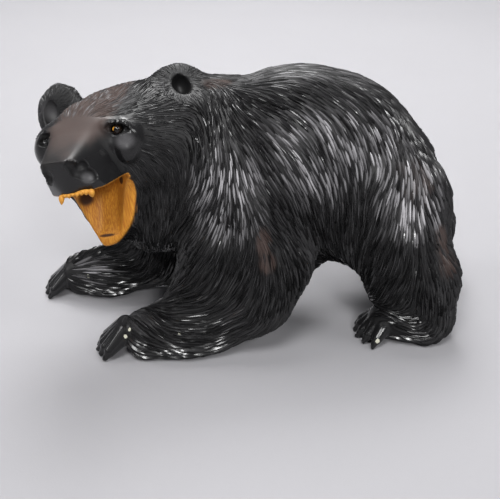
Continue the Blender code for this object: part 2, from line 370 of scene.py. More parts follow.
def ear(s):
    """A thick faceted ear, cut flat above, and its deep hollow."""
    if s > 0:
        facing, centre, radii = (0.80, 0.52, 0.30), (-40, 60, 22), (10, 25, 23)
        shift, hollow_radii = (0, 1.6, 1.8), (15.5, 7.5, 10.2)
        cuts = [
            ((-40, 62, 44.5), (0, -0.15, 1)),
            ((-40, 77, 38), (0, 0.8, 0.6)),
            ((-40, 47, 42), (0, -0.45, 1)),
        ]
    else:
        facing, centre, radii = (0.93, -0.30, 0.22), (-38, -50, 20), (10, 27, 25)
        shift, hollow_radii = (0, -3.5, -1.5), (15.5, 10.5, 12.7)
        cuts = [
            ((-38, -62, 39), (0, -0.62, 1)),
            ((-38, -43, 42.5), (0, 0.40, 1)),
            ((-38, -74.5, 22), (0, -1, 0.1)),
        ]
    facing = unit(facing)
    across = unit(np.cross(facing, (0, 0, 1)))
    axes = np.column_stack([facing, across, np.cross(facing, across)])
    centre = np.array(centre, float)
    shell = common([ball(centre, radii, axes), block(cuts, rounding=0.8)])
    hollow = ball(centre + facing * HOLLOW_OUT + np.array(shift), hollow_radii, axes)
    return shell, hollow


def nostril(s):
    """A comma-shaped scoop whose floor faces up and out."""
    if s < 0:
        line = [(81, -8, -9.5, 2.4), (77.5, -9.5, -16, 4.4), (71, -13, -20, 3.6)]
        return tapered(line, softness=1)
    line = [(78, 11.5, -9.5, 3.2), (72.5, 15.5, -16.5, 6.4), (64.5, 19.5, -22, 5.4)]
    pit = ball((68, 16, -13), (5, 5, 4.2))
    return joined([tapered(line, softness=1), pit], softness=1)


def eye_axes(s):
    """The middle of an eye, the way its opening faces, and up across the opening."""
    front = unit((0.86, 0.46 * s, 0.12))
    along = unit((-0.42, 0.86 * s, -0.27))
    return beside(*EYE_PLACE, s), front, unit(np.cross(front, along)) * s


# The almond between the lids is what two balls have in common
ALMOND_AHEAD = 7.5                     # its middle lies this far in front of the eye's
ALMOND_RISE = 0.6
ALMOND_RADIUS = 12.4
ALMOND_UPPER = 7.0                     # the balls' middles lie this far above and below its own
ALMOND_LOWER = 7.6


def eye_hollow(s):
    """The almond cut between brow and bag, and the round socket behind it."""
    centre, front, up = eye_axes(s)
    middle = centre + front * ALMOND_AHEAD + up * ALMOND_RISE
    almond = common([
        ball(middle + up * ALMOND_UPPER, (ALMOND_RADIUS,) * 3),
        ball(middle - up * ALMOND_LOWER, (ALMOND_RADIUS,) * 3),
    ])
    socket = ball(centre, (EYE_RADIUS + SOCKET_GAP,) * 3)
    return almond, socket


def lids(s):
    """Thin lids that hug the eye, open along a wedge."""
    centre, front, up = eye_axes(s)
    upper, lower = math.radians(UPPER_LID), math.radians(LOWER_LID)
    opening = block([
        (centre, up * math.cos(upper) - front * math.sin(upper)),
        (centre, -up * math.cos(lower) - front * math.sin(lower)),
    ], rounding=0.2)
    return carved(ball(centre, (EYE_RADIUS + LID_THICKNESS,) * 3), [opening], softness=0.3)


# Forward, out from the face's middle, up
FURROW = [(43.0, 17.0, 4.0), (38.0, 18.9, -4.7), (35.1, 22.0, -14.4), (31.1, 25.3, -25.2)]


def furrow(s):
    """The crease from the inner corner of the eye down to the lip."""
    return ridge([beside(*place, s) for place in FURROW], radius=1.5)


def tooth_line():
    """The row of lower teeth, cut as an arc near the lip of the jaw."""
    places = [(17.5, -12.0, -78.0), (18.2, -5.9, -80.5), (17.5, 1.2, -79.3), (16.5, 4.5, -77.6)]
    return ridge(places, radius=0.9)


def head_masses():
    """The head, and the cutters that come after it has grown into the neck."""
    left_ear, left_hollow = ear(1)
    right_ear, right_hollow = ear(-1)
    mass = joined([joined([skull(), brows()], BROW_BLEND), muzzle()], MUZZLE_BLEND)
    mass = joined([mass, *bags()], BAG_BLEND)
    mass = joined([mass, joined([lower_jaw(), far_jowl()], JOWL_BLEND)], JAW_BLEND)
    mass = joined([mass, left_ear, right_ear], EAR_BLEND)
    almonds, sockets = zip(*both_sides(eye_hollow))
    mass = carved(mass, almonds, LID_BLEND)
    mass = joined([mass, *both_sides(lids)], LID_BLEND)
    mass = carved(mass, sockets, SOCKET_BLEND)
    return mass, [left_hollow, right_hollow, *both_sides(nostril), tooth_line()]


# The body

def trunk():
    """The body without legs and head."""
    return joined([
        ball((0, -22, 146), (56, 60, 76)),
        ball((0, 48, 152), (54, 92, 79)),
        ball((0, 45, 138), (60, 80, 72)),
        ball((0, 54, 104), (48, 66, 40)),
        ball((0, 40, 75), (38, 40, 36)),
        ball((0, 88, 143), (56, 65, 74)),
        ball((0, 113, 118), (58, 57, 74)),
        limb((0, -25, 168), (12, -80, 173), 50, 51),
        ball((16, -76, 122), (40, 36, 44)),
    ], TRUNK_BLEND)


TOE_FAN = 38.0                         # from where the toes would meet to the tips of the claws
KNUCKLE_BACK = 25.0                    # how far behind the tip the parts of a toe meet
JOINT_BACK, JOINT_HEIGHT = 7.5, 8.0
CLAW_BACK, CLAW_HEIGHT = 1.5, 2.2
TOE_RADII = 8.5, 4.9                   # at the knuckle and at the joint
CLAW_RADII = 4.4, 2.0                  # at its root and at its tip
TOE_ROOM = 12.0                        # the box that holds a paw's toes is this much larger


def toes(tip, turn, span, knuckle_height):
    """Five toes that fan from under the fur to their claws; tip is the middle claw's place."""
    turn = math.radians(turn)
    ahead = np.array([math.sin(turn), -math.cos(turn), 0.0])
    across = np.array([math.cos(turn), math.sin(turn), 0.0])
    up = np.array([0.0, 0.0, 1.0])
    middle = np.array([*tip, 0.0]) - ahead * TOE_FAN
    masses = []
    for i in range(TOES):
        angle = math.radians(span) * (i / (TOES - 1) * 2.0 - 1.0)
        way = ahead * math.cos(angle) + across * math.sin(angle)
        knuckle = middle + way * (TOE_FAN - KNUCKLE_BACK) + up * knuckle_height
        joint = middle + way * (TOE_FAN - JOINT_BACK) + up * JOINT_HEIGHT
        claw = middle + way * (TOE_FAN - CLAW_BACK) + up * CLAW_HEIGHT
        toe = [limb(knuckle, joint, *TOE_RADII), limb(joint, claw, *CLAW_RADII)]
        masses.append(joined(toe, softness=1.0))
    reach = np.array([TOE_FAN + TOE_ROOM] * 3)
    return within(joined(masses, softness=0.5), middle - reach, middle + reach)


# Front legs, each a row of places with their radii
LEFT_SHIN = [(42, 6, 125, 35), (50, 17, 78, 34), (55, 5, 47, 30), (57, -30, 26, 26)]
LEFT_WRIST = [(44, -26, 90, 32), (50, -36, 48, 28), (58, -54, 24, 26), (59, -87, 17, 22)]
RIGHT_SHIN = [
    (-40, -8, 125, 35),
    (-44, -12, 80, 34),
    (-50, -60, 42, 27),
    (-56, -122, 21, 22),
    (-60, -146, 17.5, 20.5),
]
RIGHT_WRIST = [(-44, -40, 90, 32), (-50, -72, 50, 26)]
SHOULDER_RADII = (33, 50, 60)
HAUNCH_RADII = (35, 51, 60)
KNEE_FOLLOWS = 0.6                     # how far knee and haunch go along with a foot that stands back
HAUNCH_FOLLOWS = 0.3


def hind_leg(s, back):
    """A haunch, a shin and a foot; back is how far the foot stands behind its usual place."""
    shin = [
        (44 * s, 130 + back * KNEE_FOLLOWS, 88, 40),
        (54 * s, 144 + back, 52, 37),
        (60 * s, 155 + back, 23, 25),
    ]
    foot = [(62 * s, 150 + back, 18, 23), (60 * s, 120 + back, 15, 15)]
    haunch = ball((36 * s, 126 + back * HAUNCH_FOLLOWS, 111), HAUNCH_RADII)
    return joined([haunch, tapered(shin, LEG_BLEND), tapered(foot, LEG_BLEND)], LEG_BLEND)


NECK_CREASE = [(18, -29, 221.5), (31, -30, 215), (46, -31.5, 203), (57, -32.5, 190), (62, -34, 178)]


def neck_crease():
    """The valley between the turned neck and the shoulder."""
    return ridge(NECK_CREASE, radius=3.0, softness=2.0)


def front_leg(shoulder, shin, wrist):
    """The mass round a shoulder's middle, and the rolls of the shin and the wrist under it."""
    masses = [ball(shoulder, SHOULDER_RADII), tapered(shin, LEG_BLEND), tapered(wrist, LEG_BLEND)]
    return joined(masses, LEG_BLEND)


def limbs():
    """Each leg with its toes."""
    return [
        (front_leg((36, -10, 142), LEFT_SHIN, LEFT_WRIST), toes((55, -134), 3, 29, 21)),
        (front_leg((-36, -25, 142), RIGHT_SHIN, RIGHT_WRIST), toes((-64, -185), -4, 30, 21)),
        (hind_leg(1, 0.0), toes((60, 93), 6, 36, 20)),
        (hind_leg(-1, HIND_STRIDE), toes((-58, 93 + HIND_STRIDE), -6, 36, 20)),
    ]


def legs():
    return [joined([leg, claws], TOE_BLEND) for leg, claws in limbs()]


# Boxes that hold a mass and its blends, each as its lowest and highest corner
HEAD_ROOM = (-110, -230, 60), (150, 0, 290)
CREASE_ROOM = (0, -60, 160), (90, 0, 240)


def bear_mass():
    """The whole bear: the body grows into the head, then the knife cuts are taken out."""
    def of_head(mass):
        return within(placed(mass, head_axes(), HEAD_PLACE), *HEAD_ROOM)

    head, cutters = head_masses()
    whole = joined([joined([trunk(), *legs()], TRUNK_BLEND), of_head(head)], NECK_BLEND)
    whole = carved(whole, [of_head(cutter) for cutter in cutters], CUT_BLEND)
    whole = carved(whole, [within(neck_crease(), *CREASE_ROOM)], CREASE_BLEND)
    whole = carved(whole, [placed(mouth(), head_axes(), HEAD_PLACE)], MOUTH_BLEND)
    return lambda points: np.maximum(whole(points), -points[:, 2])


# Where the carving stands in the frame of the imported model

def eye_centre(s):
    """An eye's middle in the carving."""
    return np.array(HEAD_PLACE) + head_axes() @ beside(*EYE_PLACE, s)


def carving_shift():
    """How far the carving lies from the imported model, from the place of the left eye."""
    low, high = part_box("eye_left")
    return (np.array(low) + np.array(high)) / 2.0 / MM - eye_centre(1)


SHIFT = carving_shift()


def to_carving(points):
    return points / MM - SHIFT


def to_frame(points):
    return (points + SHIFT) * MM


# Meshes

def deselect_all():
    for chosen in list(bpy.context.selected_objects):
        chosen.select_set(False)


def choose(made):
    """Selects one object alone and makes it the active one."""
    deselect_all()
    made.hide_viewport = False
    made.select_set(True)
    bpy.context.view_layer.objects.active = made


def vertex_points(mesh):
    points = np.empty(len(mesh.vertices) * 3)
    mesh.vertices.foreach_get("co", points)
    return points.reshape(-1, 3)


def set_points(mesh, points):
    mesh.vertices.foreach_set("co", np.ascontiguousarray(points).ravel())
    mesh.update()


# Planes between the parts of the skin: a place, and the direction of what is cut away
NECK = ((30.0, -42.0, 150.0), (-0.35, 1.0, 0.25))  # the head's mesh ends here
CHEST = ((0.0, 0.0, 96.0), (0.0, 0.0, -1.0))  # the legs' mesh begins under it
OVERLAP = 1.5                          # the parts of the skin overlap by this much
CUT_ROOM = 14.0                        # spare wood past a cut while the skin is shaped
DEEP = 8.0                             # a vertex this far inside belongs to a closed cut
ROUGH_GRID = 2.0                       # spacing of the first grid that is laid over the carving
ROUGH_ROUNDS = 4                       # how many times the skin settles on that grid
FINE_ROUNDS = 3                        # and on the finer one
MOST_MOVE = 4.0                        # the furthest that one round moves a vertex
SLOPE_STEP = 0.05                      # the slope is measured over this distance
LEAST_STEEPNESS = 0.05                 # a flatter slope counts as this steep
SKIN_EDGE = 60.0                       # edges sharper than this stay sharp, in degrees


def settle(mesh, mass, rounds):
    """Moves each vertex along the slope of the masses until it lies on their surface."""
    points = to_carving(vertex_points(mesh))
    buried = mass(points) < -DEEP
    start = points.copy()
    for _ in range(rounds):
        gap = mass(points)
        steps = np.eye(3) * SLOPE_STEP
        slope = np.column_stack([(mass(points + step) - gap) / SLOPE_STEP for step in steps])
        steepness = np.maximum(np.sum(slope * slope, axis=1), LEAST_STEEPNESS)
        points = points - slope * (np.clip(gap, -MOST_MOVE, MOST_MOVE) / steepness)[:, None]
    points[buried] = start[buried]
    points[:, 2] = np.maximum(points[:, 2], 0.0)
    set_points(mesh, to_frame(points))


def remesh(made, grid):
    """A voxel grid laid over the shape, through a modifier that is applied."""
    choose(made)
    modifier = made.modifiers.new("grid", 'REMESH')
    modifier.mode = 'VOXEL'
    modifier.voxel_size = grid * MM
    modifier.use_smooth_shade = True
    bpy.ops.object.modifier_apply(modifier=modifier.name)


def cut_all(made, cuts, room):
    """Cuts away what lies past each plane and some room, and closes the cut."""
    for place, normal in cuts:
        outward = Vector(normal).normalized()
        place = Vector(to_frame(np.array(place))) + outward * room * MM
        choose(made)
        bpy.ops.object.mode_set(mode='EDIT')
        bpy.ops.mesh.select_all(action='SELECT')
        bpy.ops.mesh.bisect(plane_co=place, plane_no=outward, use_fill=True, clear_outer=True)
        bpy.ops.object.mode_set(mode='OBJECT')


def carving_block(name):
    """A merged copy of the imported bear."""
    copy = bpy.data.objects.new(name, frame["nodes"]["bear"].data.copy())
    copy.data.materials.clear()
    bpy.context.scene.collection.objects.link(copy)
    choose(copy)
    bpy.ops.object.mode_set(mode='EDIT')
    bpy.ops.mesh.select_all(action='SELECT')
    bpy.ops.mesh.remove_doubles(threshold=1e-6)
    bpy.ops.object.mode_set(mode='OBJECT')
    return copy


def behind(plane):
    """The same cut with its other side cut away."""
    place, normal = plane
    return place, tuple(-part for part in normal)


def carve(name, grid, *cuts):
    """One part of the skin, as far as the cuts; grid is the spacing of its mesh."""
    made = carving_block(name)
    remesh(made, ROUGH_GRID)
    cut_all(made, cuts, CUT_ROOM)
    mass = bear_mass()
    settle(made.data, mass, ROUGH_ROUNDS)
    remesh(made, grid)
    settle(made.data, mass, FINE_ROUNDS)
    cut_all(made, cuts, OVERLAP)
    choose(made)
    bpy.ops.object.shade_smooth_by_angle(angle=math.radians(SKIN_EDGE))
    return made


def attribute(mesh, name, values):
    """A number for each vertex, which the materials read."""
    layer = mesh.attributes.new(name, 'FLOAT', 'POINT')
    layer.data.foreach_set("value", np.ascontiguousarray(values, dtype=np.float32))


def finish_piece(made, slot, *nodes):
    """Sets a piece on the body and hides the CAD nodes that it stands for; its finish is not used."""
    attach(made, "root")
    if nodes:
        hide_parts(*nodes)


# Where the wood is bare, worn, rubbed or smooth, and where highlights, sheen and shade are painted, from
# points in the carving

def ramp(values, low, high):
    """0 up to low, 1 from high on, and smooth between them."""
    t = np.clip((values - low) / (high - low), 0.0, 1.0)
    return t * t * (3.0 - 2.0 * t)


PATCH_CORE = 0.3                       # a patch has its full strength out to this share of its radii


def patches(points, rows):
    """The strongest of the soft-edged patches at each point; a row is place, radii, strength."""
    total = np.zeros(len(points))
    for place, radii, strength in rows:
        gap = np.linalg.norm((points - np.array(place, float)) / np.array(radii, float), axis=1)
        total = np.maximum(total, (1.0 - ramp(gap, PATCH_CORE, 1.0)) * strength)
    return total


def jaw_outline():
    """The lower jaw's outline seen from in front."""
    return block([
        ((17, 31.5, -44), (0, 1, -0.10)),
        ((17, 26.5, -58.7), (0, 1, -0.42)),
        ((17, 16, -77.2), (0, 1, -0.95)),
        ((17, 6.2, -85.9), (0, 0.72, -1)),
        ((17, -4, -88.5), (0, 0.05, -1)),
        ((17, -17.5, -68), (0, -1, -0.39)),
        ((17, 26, -31.5), (0, 0.6, 1)),
        ((17, 0, -33), (0, -0.2, 1)),
    ], rounding=1.5)


# Half the sizes of boxes round the skull's middle
HEAD_BOX = (95, 85, 95)
CROWN_BOX = (95, 85, 60)
FACE_BOX = (95, 75, 60)


def bare_wood(points):
    """1 inside the mouth and on the rim of the lower jaw."""
    local = to_head(points)
    inside = ramp(-mouth()(local), -0.9, -0.3)
    rim = ramp(local[:, 0], 12.0, 14.5) * (1.0 - ramp(jaw_outline()(local), -0.4, 0.5))
    return np.maximum(inside, rim * (local[:, 0] < 24.0))


def smooth_wood(points):
    """1 where no fur is gouged: muzzle, bags, lids, mouth, ear hollows, toes and soles."""
    local = to_head(points)
    smooth = np.maximum(bare_wood(points), 1.0 - ramp(mouth()(local), 0.5, 2.5))
    within_head = np.all(np.abs(local) < HEAD_BOX, axis=1)
    for s in (1, -1):
        # forward, out from the face's middle and up, on this side
        forward, out, up = local[:, 0], (local[:, 1] - FACE_MIDDLE) * s, local[:, 2]
        cheek_line = 22.0 - 0.35 * (up + 10.0)          # fur begins behind it on the cheek
        muzzle_side = ramp(forward, cheek_line, cheek_line + 6.0)
        top_line = 27.0 - 0.1 * out                     # and behind this one over the nose
        bridge = ramp(forward, top_line, top_line + 8.0)
        front = np.where(up > 6.0, bridge, muzzle_side) * (out < 56.0) * (out >= 0.0)
        round_eye = ball((32, 25.5, 4), (13.5, 13.5, 13.5))(np.column_stack([forward, out, up]))
        eye = 1.0 - ramp(round_eye, 0.0, 3.0)
        crease = 1.0 - ramp(furrow(s)(local), 3.0, 5.0)
        hollow = 1.0 - ramp(ear(s)[1](local), 0.2, 1.0)
        smooth = np.maximum(smooth, np.max([front, eye, crease, hollow], axis=0) * within_head)
    for leg, claws in limbs():
        toe = (1.0 - ramp(claws(points), 0.2, 1.2)) * ramp(leg(points), -0.5, 1.0)
        smooth = np.maximum(smooth, toe)
    return np.maximum(smooth, 1.0 - ramp(points[:, 2], 1.0, 3.0))


EAR_CENTRES = [(-37.0, 64.0, 26.0), (-35.0, -56.0, 22.0)]  # in the head's axes
EAR_REACH = (24.0, 34.0)               # the fine cuts of an ear fade out between these distances

# The tables that follow hold soft-edged patches: place, radii, strength.
# Where the stain is rubbed brown, and a faint brown painted sheen on the haunch
WORN_AND_SHEEN_PLACES = [
    ((12, -22, 222), (14, 22, 12), 0.55),
    ((80, 8, 108), (16, 10, 22), 0.8),
    ((84, 11, 92), (16, 12, 16), 0.6),
    ((73, 160, 96), (22, 14, 24), 0.6),
    ((78, 164, 78), (22, 18, 24), 0.6),
    # a faint brown painted sheen on the haunch
    ((62, 136, 145), (30, 30, 40), 0.35),
]

# Where a few of the cuts' crests are painted pale grey as highlights
HIGHLIGHT_PLACES = [
    ((68, -20, 146), (32, 40, 56), 1.1),
    ((66, 132, 136), (34, 38, 54), 1.2),
    ((52, 70, 172), (36, 80, 56), 1.0),
    ((0, 60, 228), (40, 110, 22), 0.3),
    ((-40, -140, 30), (16, 34, 18), 0.9),
    ((64, -96, 26), (16, 16, 14), 0.5),
]
# On the head: the ears' crests are painted pale grey as highlights; over the crown there is a thinner grey
# stain as well as painted highlights
THIN_STAIN_AND_HIGHLIGHT_HEAD = [
    ((4, 6, 26), (38, 40, 18), 0.5),
    ((-34, 62, 26), (24, 22, 22), 0.15),
    ((-38, -60, 26), (20, 18, 18), 0.3),
]

# Where the cuts have lost their lacquer, on the body and on the head
MATT_PLACES = [((14, 6, 224), (26, 28, 16), 1.0)]
MATT_HEAD = [((-36, 60, 26), (28, 26, 28), 1.3)]

# Smooth places of the head painted paler as highlights: the nostril's wing, the bag under the eye, the far
# ear's hollow
PAINTED_SHEEN_HEAD = [
    ((62, 15, -23), (8, 6, 6), 0.14),
    ((33, 38, -3), (11, 10, 9), 0.16),
    ((-38, -58, 24), (16, 12, 12), 0.12),
]

# Where an edge has broken off, and one painted highlight on the far front paw
CHIPS_AND_GLINT = [
    ((67.8, -104.1, 27.8), (2.6, 2.6, 2.6), 1.0),
    ((68.8, -107.8, 21.8), (2.8, 2.8, 2.8), 1.0),
    ((81.3, 107.8, 8.5), (3.0, 3.4, 3.6), 0.9),
    # a painted highlight on the far front paw
    ((-38.0, -142.0, 26.1), (3.0, 3.6, 2.6), 1.0),
    ((85.2, -61.7, 30.5), (1.6, 3.0, 1.5), 1.0),
]

# The smoother back and rump
CALM_PLACES = [
    ((0, 30, 232), (52, 60, 34), 1.0),
    ((0, 90, 226), (56, 70, 40), 1.0),
    ((0, 140, 200), (50, 60, 50), 1.0),
    ((0, 178, 150), (48, 36, 60), 0.9),
    ((36, 168, 160), (26, 26, 44), 0.9),
    ((10, -30, 225), (40, 40, 22), 0.8),
]

# Where the mouth's wood is made darker brown, in the head's axes
MOUTH_DARKENING = [
    ((13, -17, -48), (11, 11, 9), 0.8),
    ((12, -19, -58), (5, 3.5, 10), 0.6),
    ((10.9, 16.8, -36.4), (8, 6, 5), 1.4),
    ((16, -4, -79.5), (3, 14, 2.2), 0.8),
]


def worn_and_sheen_wood(points):
    """1 where the stain is rubbed brown: along the crown and down the nose, and in the worn places; the
    haunch's patch is a painted sheen.
    """
    local = to_head(points)
    side = np.abs(local[:, 1] - FACE_MIDDLE)
    low = 2.0 - 0.25 * np.maximum(local[:, 0], 0.0)
    top = ramp(local[:, 2], low, 12.0) * (1.0 - ramp(side, 17.0, 34.0))
    top *= ramp(local[:, 0], -62.0, -20.0) * np.all(np.abs(local) < CROWN_BOX, axis=1)
    return np.maximum(top * 0.8, patches(points, WORN_AND_SHEEN_PLACES))


def cut_into(points):
    """1 in the nostrils, the ears and along the furrows, where no lacquer lies, and less on the nose."""
    local = to_head(points)
    cuts = [*both_sides(nostril), *both_sides(furrow), ear(1)[1], ear(-1)[1]]
    cut = 1.0 - ramp(np.min([cut(local) for cut in cuts], axis=0), 0.3, 1.8)
    bridge = ramp(local[:, 0], 25.0, 40.0) * ramp(local[:, 2], -9.0, 0.0)
    return np.maximum(cut, 0.6 * bridge)


def fine_carving(points):
    """1 on the ears and back and less on the face, where the cuts are shallow and lie flat."""
    local = to_head(points)
    ears = np.min([np.linalg.norm(local - np.array(centre), axis=1) for centre in EAR_CENTRES], axis=0)
    face = ramp(local[:, 0], -45.0, -10.0) * np.all(np.abs(local) < FACE_BOX, axis=1)
    back = patches(points, CALM_PLACES)
    return np.max([1.0 - ramp(ears, *EAR_REACH), 0.8 * face, back], axis=0)


def attributes(mesh, tones, brown_share):
    """The numbers that the wood's material reads, apart from the depth of the cuts."""
    points = to_carving(vertex_points(mesh))
    attribute(mesh, "tone", tones)
    attribute(mesh, "bare", bare_wood(points))
    attribute(mesh, "worn", worn_and_sheen_wood(points) * brown_share)
    attribute(mesh, "dirt", patches(to_head(points), MOUTH_DARKENING))
    attribute(mesh, "chip", patches(points, CHIPS_AND_GLINT))


SHEEN = 0.008                          # smooth wood is this much paler than the cuts' bottoms, which are left black as painted shade


def paint_skin(made, colours):
    """Painted shade: black in the bottoms of the cuts, slightly paler where the wood is smooth, and painted
    highlights on a few smooth places of the head.
    """
    points = to_carving(vertex_points(made.data))
    smooth = smooth_wood(points)
    attributes(made.data, SHEEN * smooth + patches(to_head(points), PAINTED_SHEEN_HEAD), 1.0)
    attribute(made.data, "deep", np.maximum(1.0 - smooth, cut_into(points)))
    made.data.materials.append(wood_material(colours))


# Fur: which way the gouge runs, how far apart its cuts are and how long they are

FLOW_REACH = 150.0                     # evens out the guides near a point, in square millimetres
EAR_FLOW = (20.0, 30.0)                # cuts run outwards from an ear, fading between these distances

# Strokes: the pitch and the length of a cut
BODY_STROKE = (2.8, 20.0)
SHOULDER_STROKE = (2.3, 18.0)
NECK_STROKE = (2.2, 16.0)
PAW_STROKE = (2.9, 30.0)
HEAD_STROKE = (1.6, 10.0)
CHEEK_STROKE = (1.9, 12.0)
EAR_STROKE = (1.5, 6.0)

# Guides: each row is a place in the carving, the way the cuts run there and their stroke.
# The right side mirrors the left.
TRUNK_FLOW = [
    ((9, -3, 219), (0.2, 0.95, -0.1), NECK_STROKE),
    ((2, 30, 228), (0.1, 1, 0), BODY_STROKE),
    ((2, 70, 225), (0.2, 1, -0.1), BODY_STROKE),
    ((2, 115, 208), (0.1, 1, -0.4), BODY_STROKE),
    ((2, 160, 165), (0, 0.6, -0.8), BODY_STROKE),
    ((2, 178, 110), (0, 0.1, -1), BODY_STROKE),
    ((30, -23, 213), (0.8, 0.1, -0.5), NECK_STROKE),
    ((35, 23, 207), (0.5, 0.8, -0.3), BODY_STROKE),
    ((25, 69, 217), (0.5, 0.75, -0.4), BODY_STROKE),
    ((35, 110, 197), (0.3, 0.6, -0.7), BODY_STROKE),
    ((51, -28, 195), (0.6, 0, -0.8), NECK_STROKE),
    ((60, -23, 182), (0.35, -0.05, -0.93), NECK_STROKE),
    ((60, 0, 181), (0.33, 0.4, -0.85), BODY_STROKE),
    ((53, 16, 186), (0.3, 0.65, -0.7), BODY_STROKE),
    ((51, 33, 184), (0.27, 0.68, -0.68), BODY_STROKE),
    ((57, -20, 188), (0.35, 0.1, -0.93), NECK_STROKE),
    ((58, -8, 188), (0.3, 0.75, -0.6), NECK_STROKE),
    ((59, -44, 174), (0.1, -0.25, -0.95), NECK_STROKE),
    ((60, -49, 148), (0, -0.55, -0.83), SHOULDER_STROKE),
    ((64, -37, 141), (0, -0.5, -0.85), SHOULDER_STROKE),
    ((67, -21, 158), (0.1, -0.15, -0.98), SHOULDER_STROKE),
    ((70, -6, 150), (0.05, 0.25, -0.95), SHOULDER_STROKE),
    ((73, 6, 142), (0.05, 0.5, -0.85), SHOULDER_STROKE),
    ((54, -53, 115), (0, -0.65, -0.75), SHOULDER_STROKE),
    ((65, -34, 119), (0, -0.35, -0.93), SHOULDER_STROKE),
    ((74, -10, 122), (0.05, 0, -1), SHOULDER_STROKE),
    ((62, 22, 155), (0.2, 0.5, -0.85), BODY_STROKE),
    ((59, -64, 157), (0, 0.1, -1), CHEEK_STROKE),
    ((56, -74, 122), (0, -0.1, -1), CHEEK_STROKE),
    ((54, 65, 175), (0.33, 0.35, -0.88), BODY_STROKE),
    ((52, 99, 173), (0.4, 0.25, -0.88), BODY_STROKE),
    ((60, 45, 150), (0.2, 0.45, -0.88), BODY_STROKE),
    ((60, 78, 142), (0.2, 0.2, -0.95), BODY_STROKE),
    ((61, 78, 118), (0, 0, -1), BODY_STROKE),
    ((57, 50, 110), (-0.1, 0.3, -0.95), BODY_STROKE),
    ((25, 50, 62), (-0.5, 0.6, -0.2), BODY_STROKE),
    ((0, 40, 60), (0, 1, 0), BODY_STROKE),
    ((39, -49, 94), (-0.3, -0.1, -0.9), NECK_STROKE),
    ((10, -75, 80), (0, 0.3, -0.9), NECK_STROKE),
]
HIND_FLOW = [
    ((37, 132, 180), (0.6, 0.1, -0.8), BODY_STROKE),
    ((65, 106, 143), (0.1, -0.44, -0.89), BODY_STROKE),
    ((68, 131, 134), (0.3, -0.1, -0.94), BODY_STROKE),
    ((61, 154, 130), (0.1, 0.34, -0.94), BODY_STROKE),
    ((45, 167, 141), (0.35, 0.25, -0.9), BODY_STROKE),
    ((80, 105, 100), (0, -0.35, -0.93), BODY_STROKE),
    ((85, 122, 97), (0, -0.05, -1), BODY_STROKE),
    ((76, 159, 81), (0.1, 0.2, -0.97), BODY_STROKE),
    ((91, 149, 45), (0, 0.15, -0.98), BODY_STROKE),
    ((60, 185, 50), (0, 0.1, -1), BODY_STROKE),
    ((85, 114, 60), (-0.2, -0.3, -0.92), BODY_STROKE),
    ((85, 125, 24), (0.1, -0.92, 0.3), PAW_STROKE),
    ((70, 110, 30), (0, -0.9, -0.3), PAW_STROKE),
    ((45, 120, 25), (-0.1, -0.92, 0.1), PAW_STROKE),
    ((22, 140, 60), (0, 0.1, -1), BODY_STROKE),
    ((20, 110, 90), (0, 0.1, -1), BODY_STROKE),
]
FRONT_FLOW = [
    ((75, 14, 117), (0.05, 0.6, -0.8), SHOULDER_STROKE),
    ((76, -15, 91), (0, -0.25, -0.97), SHOULDER_STROKE),
    ((71, -43, 91), (-0.1, -0.5, -0.85), SHOULDER_STROKE),
    ((80, 24, 82), (0.1, 0.15, -0.98), BODY_STROKE),
    ((55, 45, 75), (-0.1, 0.3, -0.95), BODY_STROKE),
    ((78, 5, 50), (0, -0.3, -0.95), BODY_STROKE),
    ((68, -19, 70), (-0.1, -0.5, -0.8), PAW_STROKE),
    ((80, -20, 38), (-0.1, -0.9, -0.35), PAW_STROKE),
    ((69, -53, 44), (0, -1, 0), PAW_STROKE),
    ((82, -50, 20), (0, -1, 0.15), PAW_STROKE),
    ((72, -87, 34), (-0.5, -0.65, 0.55), PAW_STROKE),
    ((78, -88, 15), (-0.14, -0.93, 0.35), PAW_STROKE),
    ((30, -70, 30), (0, -1, 0.1), PAW_STROKE),
    ((20, -20, 50), (0, -0.4, -0.9), PAW_STROKE),
    ((15, 10, 90), (0, 0, -1), BODY_STROKE),
]
# In the head's axes
HEAD_FLOW = [
    ((20, 0, 24), (-0.95, 0.15, 0.2), HEAD_STROKE),
    ((0, 12, 26), (-0.85, 0.4, 0.1), HEAD_STROKE),
    ((-30, 8, 32), (-1, 0.1, 0), HEAD_STROKE),
    ((24, 22, 16), (-0.6, 0.7, 0.1), HEAD_STROKE),
    ((22, 38, 10), (-0.7, 0.7, -0.2), HEAD_STROKE),
    ((5, 40, 16), (-0.7, 0.65, -0.15), HEAD_STROKE),
    ((6, 62, -4), (-0.8, 0.5, -0.3), CHEEK_STROKE),
    ((18, 52, -8), (-0.7, 0.6, -0.4), HEAD_STROKE),
    ((12, 50, -25), (-0.6, 0.4, -0.7), CHEEK_STROKE),
    ((15, 40, -35), (0, 0.3, -0.95), CHEEK_STROKE),
    ((-10, 62, -25), (-0.35, 0.35, -0.85), CHEEK_STROKE),
    ((0, 35, -60), (0.2, -0.1, -0.95), CHEEK_STROKE),
    ((-20, 50, -55), (0.1, 0, -1), CHEEK_STROKE),
    ((0, 5, -86), (-1, 0, 0), CHEEK_STROKE),
    ((-20, 62, 0), (-1, 0.3, -0.1), CHEEK_STROKE),
    ((-10, 45, 22), (-1, 0.2, 0.1), HEAD_STROKE),
]


def mirrored(vector, s):
    """The same place or direction on the side s."""
    return np.array([vector[0] * s, vector[1], vector[2]], float)


